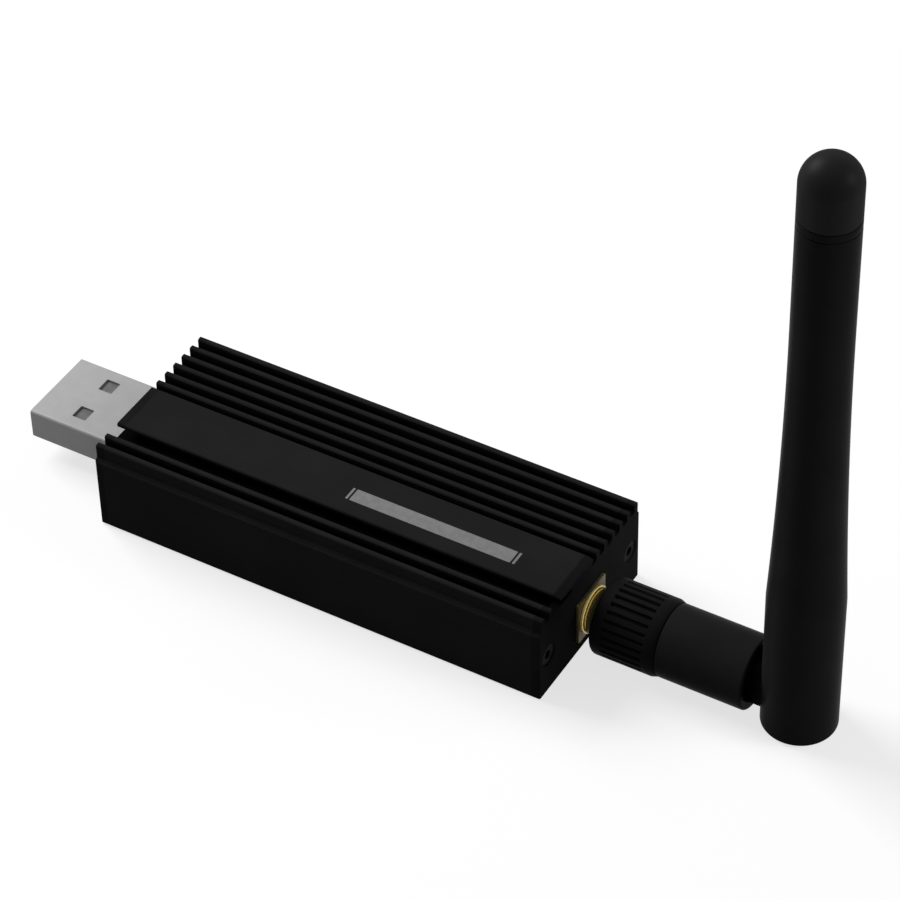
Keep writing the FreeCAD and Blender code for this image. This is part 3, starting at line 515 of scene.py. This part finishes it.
# The plug's inside. A grey moulded tongue fills the upper half of the shell and carries four
# gold-plated contact strips on its underside. The contacts of the antenna joint are plated with them.
tongue_grey = Finish("plug_grey", (0.10, 0.10, 0.105), 0.5, gloss=0.3)
tongue_grey.tint(tongue_grey.cloud(1.2).between(0.4, 0.7), (0.13, 0.13, 0.135))
tongue_grey.rough(0.42 + 0.16 * tongue_grey.cloud(6.0))
tongue_grey.grain(tongue_grey.cloud(8.0), 0.01)
tongue_grey.on("usb_insulator")
contact_gold = Finish("contact_gold", (0.83, 0.58, 0.22), 0.3, metallic=1.0)
contact_gold.tint(contact_gold.cloud(1.5).between(0.4, 0.7), (0.88, 0.65, 0.30))
contact_gold.rough(0.22 + 0.2 * contact_gold.cloud(4.0, (0.1, 1.0, 1.0)))
contact_gold.on("usb_contact_1", "usb_contact_2", "usb_contact_3", "usb_contact_4")
contact_gold.on("jack_contact", "plug_pin")

# The antenna jack. Turned brass with bright gold plating: a square flange let into the end plate,
# a round shoulder, a neck, and a quarter inch barrel with 36 threads to the inch. Four legs behind
# the flange grip the board's end.
AXIS = 4.9 * MM
WHIP_AXIS = 61.3 * MM
FLANGE_BACK = 31.05 * MM
FLANGE_FACE = 32.65 * MM
FLANGE_SIDE = 3.4 * MM
FLANGE_RISE = 3.25 * MM
FLANGE_CORNER = 0.22 * MM
FLANGE_EDGE = 0.08 * MM
SHOULDER_END = 33.15 * MM
SHOULDER_RADIUS = 3.2 * MM
SHOULDER_EDGE = 0.2 * MM
NECK_RADIUS = 2.75 * MM
THREAD_START = 33.35 * MM
THREAD_RADIUS = 3.17 * MM
THREAD_PITCH = 25.4 / 36 * MM
THREAD_DEPTH = 0.40 * MM
THREAD_TURNS = 14
STEPS_A_TURN = 64
TOOTH = ((0.125, 0.0), (0.3125, 1.0), (0.125, 0.0), (0.3125, -1.0), (0.125, 0.0))
TRIM_RADIUS = 3.4 * MM
LEAD_IN = 0.2 * MM
LEAD_RADIUS = 2.9 * MM
JACK_BORE = 2.05 * MM
SOCKET_BORE = 2.32 * MM
SOCKET_FLOOR = 37.82 * MM
JACK_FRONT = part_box("jack_body")[1][0]
LEG_PLACE = 2.7 * MM
LEG_FEET = (4.5 * MM, 1.9 * MM)
LEG_LENGTH = 3.6 * MM
LEG_HALF = 0.5 * MM
LEG_HEIGHT = 1.0 * MM
WELD = 0.001 * MM


def on_axis(axis, place):
    """Point on the jack's axis, X, or on the whip's, Z."""
    return Vector((place, 0.0, AXIS)) if axis == "X" else Vector((WHIP_AXIS, 0.0, place))


def draw_out(axis, rings):
    """Draws the selected loop or disc out through rings of (place along the axis, radius)."""
    for (place, radius), (next_place, next_radius) in zip(rings, rings[1:]):
        centre = on_axis(axis, next_place)
        step = centre - on_axis(axis, place)
        bpy.ops.mesh.extrude_region_move(TRANSFORM_OT_translate={"value": step})
        ratio = next_radius / radius
        scale = (1.0, ratio, ratio) if axis == "X" else (ratio, ratio, 1.0)
        bpy.ops.transform.resize(value=scale, center_override=centre)


def turned(axis, rings, around=96, bored=False):
    """Turned piece drawn out of a disc, or out of a hoop whose last ring meets its first."""
    fresh()
    place, radius = rings[0]
    turn = (0.0, math.pi / 2, 0.0) if axis == "X" else (0.0, 0.0, 0.0)
    bpy.ops.mesh.primitive_circle_add(vertices=around, radius=radius, location=on_axis(axis, place),
                                      rotation=turn, fill_type="NOTHING" if bored else "NGON")
    piece = set_in_mesh()
    edit(piece)
    draw_out(axis, rings + rings[:1] if bored else rings)
    bpy.ops.mesh.select_all(action="SELECT")
    bpy.ops.mesh.remove_doubles(threshold=WELD)
    bpy.ops.mesh.normals_make_consistent(inside=False)
    return piece


def round_rim(piece, axis, place, radius, width, segments=5):
    """Rounds one round edge of a turned piece, found by its place along the axis and its radius."""
    centre = on_axis(axis, place)
    near = 0.002 * MM

    def on_rim(vert):
        reach = vert.co - centre
        along = reach["XYZ".index(axis)]
        return abs(along) < near and abs(reach.length - radius) < near

    edit(piece)
    choose(piece, "EDGE", lambda edge: on_rim(edge.verts[0]) and on_rim(edge.verts[1]))
    bpy.ops.mesh.bevel(offset=width, segments=segments, affect="EDGES")


def rod(axis, radius, start, end, around=64):
    """Plain rod between two places on the jack's axis or the whip's."""
    fresh()
    turn = (0.0, math.pi / 2, 0.0) if axis == "X" else (0.0, 0.0, 0.0)
    bpy.ops.mesh.primitive_cylinder_add(vertices=around, radius=radius, depth=end - start,
                                        location=on_axis(axis, (start + end) / 2), rotation=turn)
    return set_in_mesh()


# flange
jack = block((FLANGE_BACK, -FLANGE_SIDE, AXIS - FLANGE_RISE),
             (FLANGE_FACE, FLANGE_SIDE, AXIS + FLANGE_RISE))
edit(jack)
choose(jack, "EDGE", lambda edge: lies_along(edge, 0))
bpy.ops.mesh.bevel(offset=FLANGE_CORNER, segments=4, affect="EDGES")
choose(jack, "FACE", lambda face: face.normal.x > 0.9)
bpy.ops.mesh.bevel(offset=FLANGE_EDGE, segments=2, affect="EDGES")
# thread: one tooth is drawn point by point, run round as a screw, and trimmed to the barrel; each
# step of the tooth is a share of the pitch along the axis and a share of the depth outwards
fresh()
bpy.ops.mesh.primitive_plane_add(size=1 * MM, location=on_axis("X", THREAD_START - 2 * THREAD_PITCH))
thread = bpy.context.object
edit(thread)
bpy.ops.mesh.merge(type="CENTER")
choose(thread, "VERT", lambda vert: True)
bpy.ops.transform.translate(value=(0.0, 0.0, THREAD_RADIUS - THREAD_DEPTH))
for run, rise in TOOTH:
    step = (run * THREAD_PITCH, 0.0, rise * THREAD_DEPTH)
    bpy.ops.mesh.extrude_vertices_move(TRANSFORM_OT_translate={"value": step})
fresh()
bpy.context.view_layer.objects.active = thread
thread.select_set(True)
screw = thread.modifiers.new("screw", "SCREW")
screw.axis = "X"
screw.screw_offset = THREAD_PITCH
screw.iterations = THREAD_TURNS
screw.steps = STEPS_A_TURN
screw.render_steps = STEPS_A_TURN
bpy.ops.object.modifier_apply(modifier=screw.name)
set_in_mesh()
edit(thread)
bpy.ops.mesh.remove_doubles(threshold=WELD)
for place, way in ((THREAD_START - 0.2 * MM, -1.0), (JACK_FRONT + 0.3 * MM, 1.0)):
    edit(thread)
    bpy.ops.mesh.bisect(plane_co=on_axis("X", place), plane_no=(way, 0.0, 0.0), use_fill=True,
                        clear_outer=True, threshold=0.0001 * MM)
edit(thread)
bpy.ops.mesh.normals_make_consistent(inside=False)
trimming = turned("X", [(THREAD_START, TRIM_RADIUS), (JACK_FRONT - LEAD_IN, TRIM_RADIUS),
                        (JACK_FRONT, LEAD_RADIUS)])
combine(thread, trimming, "INTERSECT")
core = turned("X", [(FLANGE_FACE - 0.5 * MM, SHOULDER_RADIUS), (SHOULDER_END, SHOULDER_RADIUS),
                    (SHOULDER_END, NECK_RADIUS), (THREAD_START + 0.1 * MM, NECK_RADIUS)])
round_rim(core, "X", SHOULDER_END, SHOULDER_RADIUS, SHOULDER_EDGE)
combine(jack, core, "UNION")
combine(jack, thread, "UNION")
combine(jack, rod("X", JACK_BORE, FLANGE_BACK - 1 * MM, SOCKET_FLOOR + 1 * MM), "DIFFERENCE")
combine(jack, rod("X", SOCKET_BORE, SOCKET_FLOOR, JACK_FRONT + 1 * MM), "DIFFERENCE")
for hand in (-1, 1):
    for foot in LEG_FEET:
        side = hand * LEG_PLACE
        leg = block((FLANGE_BACK - LEG_LENGTH, side - LEG_HALF, foot),
                    (FLANGE_BACK + 0.1 * MM, side + LEG_HALF, foot + LEG_HEIGHT))
        combine(jack, leg, "UNION")

# the shoulder is bright; the flange and the barrel are painted darker and less metallic: painted shade
# and painted dark reflection of the collar
gold = Finish("jack_gold", (0.88, 0.69, 0.25), 0.32, metallic=0.75, gloss=0.1)
along_jack = gold.start.node("SeparateXYZ", {}, {0: gold.place()})
flange = 1.0 - along_jack.between(FLANGE_FACE / MM + 0.01, FLANGE_FACE / MM + 0.11)
barrel = along_jack.between(SHOULDER_END / MM, THREAD_START / MM)
# painted shade and painted dark reflection on the flange and the barrel, with a little random tone
gold.tint(0.85 * flange + 0.80 * barrel + 0.15 * gold.cloud(0.7), (0.10, 0.086, 0.042))
gold.rough(0.26 + 0.18 * gold.cloud(5.0))
(0.75 - 0.45 * flange - 0.6 * barrel).feed(gold.shader, "Metallic")
gold.grain(gold.cloud(9.0), 0.005)
fit(jack, "antenna_jack", "housing", "jack_body", gold)

# The white insulators of the jack and of the antenna's plug, and the bead inside the whip, are
# turned from slippery white plastic and pressed in.
white_core = Finish("white_core", (0.80, 0.80, 0.78), 0.5, gloss=0.3)
white_core.tint(white_core.cloud(1.0).between(0.4, 0.7), (0.74, 0.74, 0.71))
white_core.rough(0.44 + 0.14 * white_core.cloud(5.0))
white_core.on("jack_insulator", "plug_insulator", "feed_bead")

# The metal inside the collar. A coupling nut, the antenna plug's ferrule and its snap ring are
# turned brass with a dull plating; a red rubber ring seals the joint.
plated = Finish("plated_brass", (0.60, 0.50, 0.30), 0.35, metallic=0.9)
plated.tint(plated.cloud(1.0).between(0.4, 0.7), (0.66, 0.56, 0.35))
plated.rough(0.28 + 0.18 * plated.cloud(5.0))
plated.on("coupling_nut", "plug_ferrule", "snap_ring")
seal = Finish("seal_rubber", (0.35, 0.08, 0.05), 0.7, gloss=0.3)
seal.tint(seal.cloud(2.0).between(0.4, 0.7), (0.40, 0.10, 0.07))
seal.rough(0.62 + 0.16 * seal.cloud(5.0))
seal.on("sealing_ring")

# The collar. Black moulded plastic, pressed over the coupling nut; the fingers turn it by the
# flutes cut along it, and its front edge is rounded.
COLLAR_FRONT = 34.65 * MM
COLLAR_BACK = 43.65 * MM
COLLAR_RADIUS = 5.08 * MM
MOUTH_RADIUS = 3.5 * MM
BACK_BORE = 3.3 * MM
FLUTES = 28
STEPS_A_FLUTE = 8
FLUTE_FRONT = 36.35 * MM
FLUTE_BACK = 42.10 * MM
FLUTE_RUN = 0.22 * MM
FLUTE_DEPTH = 0.45 * MM
FRONT_ROUND = 0.7 * MM
REAR_SLOPE = 0.7 * MM
REAR_DROP = 0.24 * MM
REAR_EDGE = 0.1 * MM
MOUTH_DEPTH = 1.6 * MM
BACK_BORE_DEPTH = 2.0 * MM
NUT_CORNER_RADIUS = 4.35 * MM
NUT_START = 0.6 * MM
NUT_END = 8.3 * MM

collar = turned("X", [(COLLAR_FRONT, MOUTH_RADIUS), (COLLAR_FRONT, COLLAR_RADIUS),
                      (FLUTE_FRONT, COLLAR_RADIUS), (FLUTE_FRONT + FLUTE_RUN, COLLAR_RADIUS),
                      (FLUTE_BACK - FLUTE_RUN, COLLAR_RADIUS), (FLUTE_BACK, COLLAR_RADIUS),
                      (COLLAR_BACK - REAR_SLOPE, COLLAR_RADIUS),
                      (COLLAR_BACK, COLLAR_RADIUS - REAR_DROP), (COLLAR_BACK, BACK_BORE),
                      (COLLAR_BACK - BACK_BORE_DEPTH, BACK_BORE),
                      (COLLAR_FRONT + MOUTH_DEPTH, MOUTH_RADIUS)],
                FLUTES * STEPS_A_FLUTE, bored=True)


def in_flute(vert, steps_off):
    """Whether a point of the collar's fluted band lies so many steps off the middle of a flute."""
    reach = vert.co - on_axis("X", vert.co.x)
    turns = math.atan2(reach.z, reach.y) / (2 * math.pi)
    step = round(turns * FLUTES * STEPS_A_FLUTE) % STEPS_A_FLUTE
    inside = FLUTE_FRONT + FLUTE_RUN / 2 < vert.co.x < FLUTE_BACK - FLUTE_RUN / 2
    return inside and reach.length > COLLAR_RADIUS - 0.01 * MM and step in steps_off


edit(collar)
choose(collar, "VERT", lambda vert: in_flute(vert, (0, 1, STEPS_A_FLUTE - 1)))
shrink = 1.0 - FLUTE_DEPTH / COLLAR_RADIUS
bpy.ops.transform.resize(value=(1.0, shrink, shrink), center_override=on_axis("X", COLLAR_FRONT))
round_rim(collar, "X", COLLAR_FRONT, COLLAR_RADIUS, FRONT_ROUND, 6)
round_rim(collar, "X", COLLAR_BACK, COLLAR_RADIUS - REAR_DROP, REAR_EDGE, 3)
nut_room = rod("X", NUT_CORNER_RADIUS, COLLAR_FRONT + NUT_START, COLLAR_FRONT + NUT_END, 6)
edit(nut_room)
bpy.ops.transform.rotate(value=math.pi / 6, orient_axis="X",
                         center_override=on_axis("X", COLLAR_FRONT))
combine(collar, nut_room, "DIFFERENCE")

rubbed = Finish("collar_black", (0.0088, 0.0088, 0.0091), 0.40, gloss=0.006)
rubbed.tint(rubbed.cloud(0.3).between(0.3, 0.75), (0.0104, 0.0104, 0.0107))
rubbed.rough(0.35 + 0.10 * rubbed.cloud(7.0))
rubbed.grain(rubbed.cloud(7.0), 0.005)
fit(collar, "collar", "screw_nut", "knurled_collar", rubbed)

# The elbow's base. Black moulded plastic that turns on the antenna plug; its end is dished so that
# the whip can swing past, and carries a flat tongue with a trunnion on each cheek.
BASE_START = 43.75 * MM
BASE_END = 55.5 * MM
BASE_RADIUS = 4.81 * MM
BASE_START_EDGE = 0.14 * MM
BASE_END_EDGE = 0.3 * MM
PIVOT = Vector((WHIP_AXIS, 0.0, AXIS))
DISH_RADIUS = 6.87 * MM
DISH_RINGS = 9
TONGUE_ROOT = 53.4 * MM
TONGUE_HALF = 2.0 * MM
TONGUE_RADIUS = 3.3 * MM
JOINT_EDGE = 0.2 * MM
TRUNNION_RADIUS = 1.6 * MM
TRUNNION_END = 3.6 * MM
CABLE_RADIUS = 0.9 * MM
CABLE_BREAK = 59.1 * MM
FAN_HALF = 1 * MM
FAN_HEIGHT = 4 * MM
# the two below bound the painted shade on the joint's faces
PAINTED_SHADE_RADIUS = (4.2, 4.5)  # both in millimetres, as the finish's own coordinates are
PAINTED_SHADE_START = (53.8, 54.2)
PLUG_BORE = 2.45 * MM
PLUG_HEAD_BORE = 2.95 * MM
PLUG_HEAD_START = 47.85 * MM
PLUG_HEAD_END = 48.65 * MM

gap = PIVOT.x - BASE_END
dish = []
for step in range(DISH_RINGS):
    # the last ring is a small disc round the axis, by half a step
    radius = math.sqrt(DISH_RADIUS ** 2 - gap ** 2) * (1.0 - step / (DISH_RINGS - 0.5))
    dish.append((PIVOT.x - math.sqrt(DISH_RADIUS ** 2 - radius ** 2), radius))
base = turned("X", [(PLUG_HEAD_END, PLUG_HEAD_BORE), (PLUG_HEAD_START, PLUG_HEAD_BORE),
                    (PLUG_HEAD_START, PLUG_BORE), (BASE_START, PLUG_BORE),
                    (BASE_START, BASE_RADIUS), (BASE_END, BASE_RADIUS)] + dish)
round_rim(base, "X", BASE_END, BASE_RADIUS, BASE_END_EDGE, 5)
round_rim(base, "X", BASE_START, BASE_RADIUS, BASE_START_EDGE, 3)
tongue = block((TONGUE_ROOT, -TONGUE_HALF, AXIS - TONGUE_RADIUS),
               (PIVOT.x + TONGUE_RADIUS, TONGUE_HALF, AXIS + TONGUE_RADIUS))
edit(tongue)
choose(tongue, "EDGE", lambda edge: lies_along(edge, 1) and edge.verts[0].co.x > PIVOT.x)
bpy.ops.mesh.bevel(offset=0.999 * TONGUE_RADIUS, segments=24, affect="EDGES")
soften(tongue, JOINT_EDGE, 3)
fresh()
bpy.ops.mesh.primitive_cylinder_add(vertices=64, radius=TRUNNION_RADIUS, depth=2 * TRUNNION_END,
                                    location=PIVOT, rotation=(math.pi / 2, 0.0, 0.0))
trunnions = set_in_mesh()
soften(trunnions, JOINT_EDGE, 3)
combine(tongue, trunnions, "UNION")
combine(base, tongue, "UNION")
combine(base, rod("X", CABLE_RADIUS, PLUG_HEAD_END - 0.3 * MM, CABLE_BREAK + 0.2 * MM), "DIFFERENCE")
# the tongue is slotted in the middle, which leaves room for the cable as the whip tilts
fan = block((CABLE_BREAK, -FAN_HALF, AXIS - FAN_HALF),
            (PIVOT.x + FAN_HEIGHT, FAN_HALF, AXIS + FAN_HEIGHT))
combine(base, fan, "DIFFERENCE")

moulded = Finish("antenna_black", (0.0138, 0.0138, 0.0142), 0.36, gloss=0.006)
texture = moulded.cloud(7.0)
moulded.tint(moulded.cloud(0.15).between(0.3, 0.75), (0.0160, 0.0160, 0.0164))
moulded.rough(0.31 + 0.10 * texture)
moulded.grain(texture, 0.005)

# the base's outside has the whip's texture; the dish, the tongue and the trunnions at the joint are
# painted darker: painted shade
elbow_black = Finish("elbow_black", (0.0138, 0.0138, 0.0142), 0.36, gloss=0.006)
spot = elbow_black.place()
off_axis = spot.node("VectorMath", {"operation": "SUBTRACT"}, {0: spot, 1: (0.0, 0.0, AXIS / MM)})
sideways = spot.node("VectorMath", {"operation": "MULTIPLY"}, {0: off_axis, 1: (0.0, 1.0, 1.0)})
reach = spot.node("VectorMath", {"operation": "LENGTH"}, {0: sideways}, "Value")
along = spot.node("SeparateXYZ", {}, {0: spot})
painted_joint_shade = (1.0 - reach.between(*PAINTED_SHADE_RADIUS)) * along.between(*PAINTED_SHADE_START)
elbow_black.tint(elbow_black.cloud(0.15).between(0.3, 0.75), (0.0160, 0.0160, 0.0164))
# painted shade in the dish and on the tongue
elbow_black.tint(painted_joint_shade, (0.0028, 0.0028, 0.0029))
elbow_black.rough(0.31 + 0.10 * elbow_black.cloud(7.0))
elbow_black.grain(elbow_black.cloud(7.0), 0.005)
fit(base, "elbow_body", "elbow", "elbow_base", elbow_black)

# The whip. A black moulded tube with a straight foot, a long hollow taper and a straight top. The
# foot is slotted for the tongue, and its cheeks are bored for the trunnions.
WHIP_FOOT = 0.1 * MM
FOOT_EDGE = 0.3 * MM
WHIP_RADIUS = 4.8 * MM
TIP_RADIUS = 3.7 * MM
TAPER_START = 20.9 * MM
TAPER_END = 61.9 * MM
TAPER_STEPS = 16
BAND_FOOT = 77.0 * MM
GROOVE_RUN = 0.16 * MM
GROOVE_DEPTH = 0.35 * MM
GROOVE_EDGE = 0.05 * MM
BORE = 2.7 * MM
BORE_FOOT = 12.9 * MM
SLOT_HALF = 2.1 * MM
SLOT_ROOM = 3.4 * MM
TRUNNION_PLAY = 0.05 * MM
TRUNNION_BORE_DEPTH = 1.6 * MM

fall = WHIP_RADIUS - TIP_RADIUS
taper = []
for step in range(TAPER_STEPS + 1):
    # the hollow is deepest half way, by a quarter of the fall
    share = step / TAPER_STEPS
    drop = fall * share + fall * share * (1 - share)
    taper.append((TAPER_START + (TAPER_END - TAPER_START) * share, WHIP_RADIUS - drop))
whip = turned("Z", [(WHIP_FOOT, WHIP_RADIUS)] + taper +
              [(BAND_FOOT, TIP_RADIUS), (BAND_FOOT, BORE), (BORE_FOOT, BORE), (BORE_FOOT, CABLE_RADIUS),
               (AXIS, CABLE_RADIUS)], 128)
round_rim(whip, "Z", WHIP_FOOT, WHIP_RADIUS, FOOT_EDGE, 4)
round_rim(whip, "Z", BAND_FOOT, TIP_RADIUS, GROOVE_EDGE, 3)
slot = block((PIVOT.x - 6 * MM, -SLOT_HALF, WHIP_FOOT - 1 * MM),
             (PIVOT.x + SLOT_ROOM, SLOT_HALF, AXIS + SLOT_ROOM))


def top_corner(edge):
    """Whether an edge is the slot's upper corner on the far side of the pivot."""
    start = edge.verts[0].co
    return lies_along(edge, 1) and start.x > PIVOT.x and start.z > AXIS


edit(slot)
choose(slot, "EDGE", top_corner)
bpy.ops.mesh.bevel(offset=0.999 * SLOT_ROOM, segments=24, affect="EDGES")
combine(whip, slot, "DIFFERENCE")
fresh()
bpy.ops.mesh.primitive_cylinder_add(vertices=64, radius=TRUNNION_RADIUS + TRUNNION_PLAY,
                                    depth=2 * (SLOT_HALF + TRUNNION_BORE_DEPTH),
                                    location=PIVOT, rotation=(math.pi / 2, 0.0, 0.0))
combine(whip, set_in_mesh(), "DIFFERENCE")
fit(whip, "whip_rod", "whip", "whip_tube", moulded)

# The band. A short ring of the same plastic between the tube and the cap, with a fine groove at
# each side of it; the cap's spigot holds it.
CAP_FOOT = 78.25 * MM

neck = TIP_RADIUS - GROOVE_DEPTH
band = turned("Z", [(BAND_FOOT, BORE), (BAND_FOOT, neck), (BAND_FOOT + GROOVE_RUN, neck),
                    (BAND_FOOT + GROOVE_RUN, TIP_RADIUS), (CAP_FOOT - GROOVE_RUN, TIP_RADIUS),
                    (CAP_FOOT - GROOVE_RUN, neck), (CAP_FOOT, neck), (CAP_FOOT, BORE)], 128, bored=True)
round_rim(band, "Z", BAND_FOOT + GROOVE_RUN, TIP_RADIUS, GROOVE_EDGE, 3)
round_rim(band, "Z", CAP_FOOT - GROOVE_RUN, TIP_RADIUS, GROOVE_EDGE, 3)
fit(band, "band", "whip", "band_ring", moulded)

# The cap. A moulded dome on a short skirt, a little shinier than the tube; its hollow spigot is
# pushed into the band and the tube.
WHIP_TIP = 86.2 * MM
SPIGOT_FOOT = 73.25 * MM
SPIGOT_RADIUS = 2.68 * MM
CAP_BORE = 1.8 * MM

spring_line = WHIP_TIP - TIP_RADIUS
fresh()
bpy.ops.mesh.primitive_uv_sphere_add(segments=128, ring_count=64, radius=TIP_RADIUS,
                                     location=on_axis("Z", spring_line))
cap = set_in_mesh()
edit(cap)
choose(cap, "VERT", lambda vert: vert.co.z < spring_line - 0.01 * MM)
bpy.ops.mesh.delete(type="VERT")
choose(cap, "EDGE", lambda edge: edge.is_boundary)
draw_out("Z", [(spring_line, TIP_RADIUS), (CAP_FOOT, TIP_RADIUS), (CAP_FOOT, SPIGOT_RADIUS),
               (SPIGOT_FOOT, SPIGOT_RADIUS), (SPIGOT_FOOT, CAP_BORE), (spring_line, CAP_BORE)])
bpy.ops.mesh.edge_face_add()
bpy.ops.mesh.select_all(action="SELECT")
bpy.ops.mesh.normals_make_consistent(inside=False)
round_rim(cap, "Z", CAP_FOOT, TIP_RADIUS, GROOVE_EDGE, 3)

# the shine is a thin coat that fades out at the rim, where it would mirror the white room
polished = Finish("cap_black", (0.0112, 0.0112, 0.0115), 0.40, gloss=0.004)
polished.shader.inputs["Coat IOR"].default_value = 1.12
polished.shader.inputs["Coat Roughness"].default_value = 0.46
facing = polished.start.node("LayerWeight", {}, {"Blend": 0.5}, "Facing")
(1.0 - facing.between(0.25, 0.8)).feed(polished.shader, "Coat Weight")
polished.tint(polished.cloud(0.2).between(0.3, 0.75), (0.0128, 0.0128, 0.0131))
polished.rough(0.35 + 0.10 * polished.cloud(7.0))
fit(cap, "cap", "whip", "end_cap", polished)

# Inside the antenna. A brown-jacketed coaxial cable runs from the plug up the whip, ends in a brass
# sleeve that is the lower half of the dipole, and a brass wire above the bead is the upper half.
jacket = Finish("cable_brown", (0.16, 0.08, 0.04), 0.4, gloss=0.4)
jacket.tint(jacket.cloud(1.5).between(0.4, 0.7), (0.20, 0.11, 0.06))
jacket.rough(0.34 + 0.14 * jacket.cloud(4.0))
jacket.on("base_cable", "whip_cable")
drawn = Finish("dipole_brass", (0.70, 0.48, 0.20), 0.35, metallic=0.9)
drawn.tint(drawn.cloud(1.0, (1.0, 1.0, 0.1)).between(0.4, 0.7), (0.76, 0.55, 0.26))
drawn.rough(0.28 + 0.18 * drawn.cloud(5.0))
drawn.on("dipole_sleeve", "dipole_wire")

bpy.context.view_layer.update()
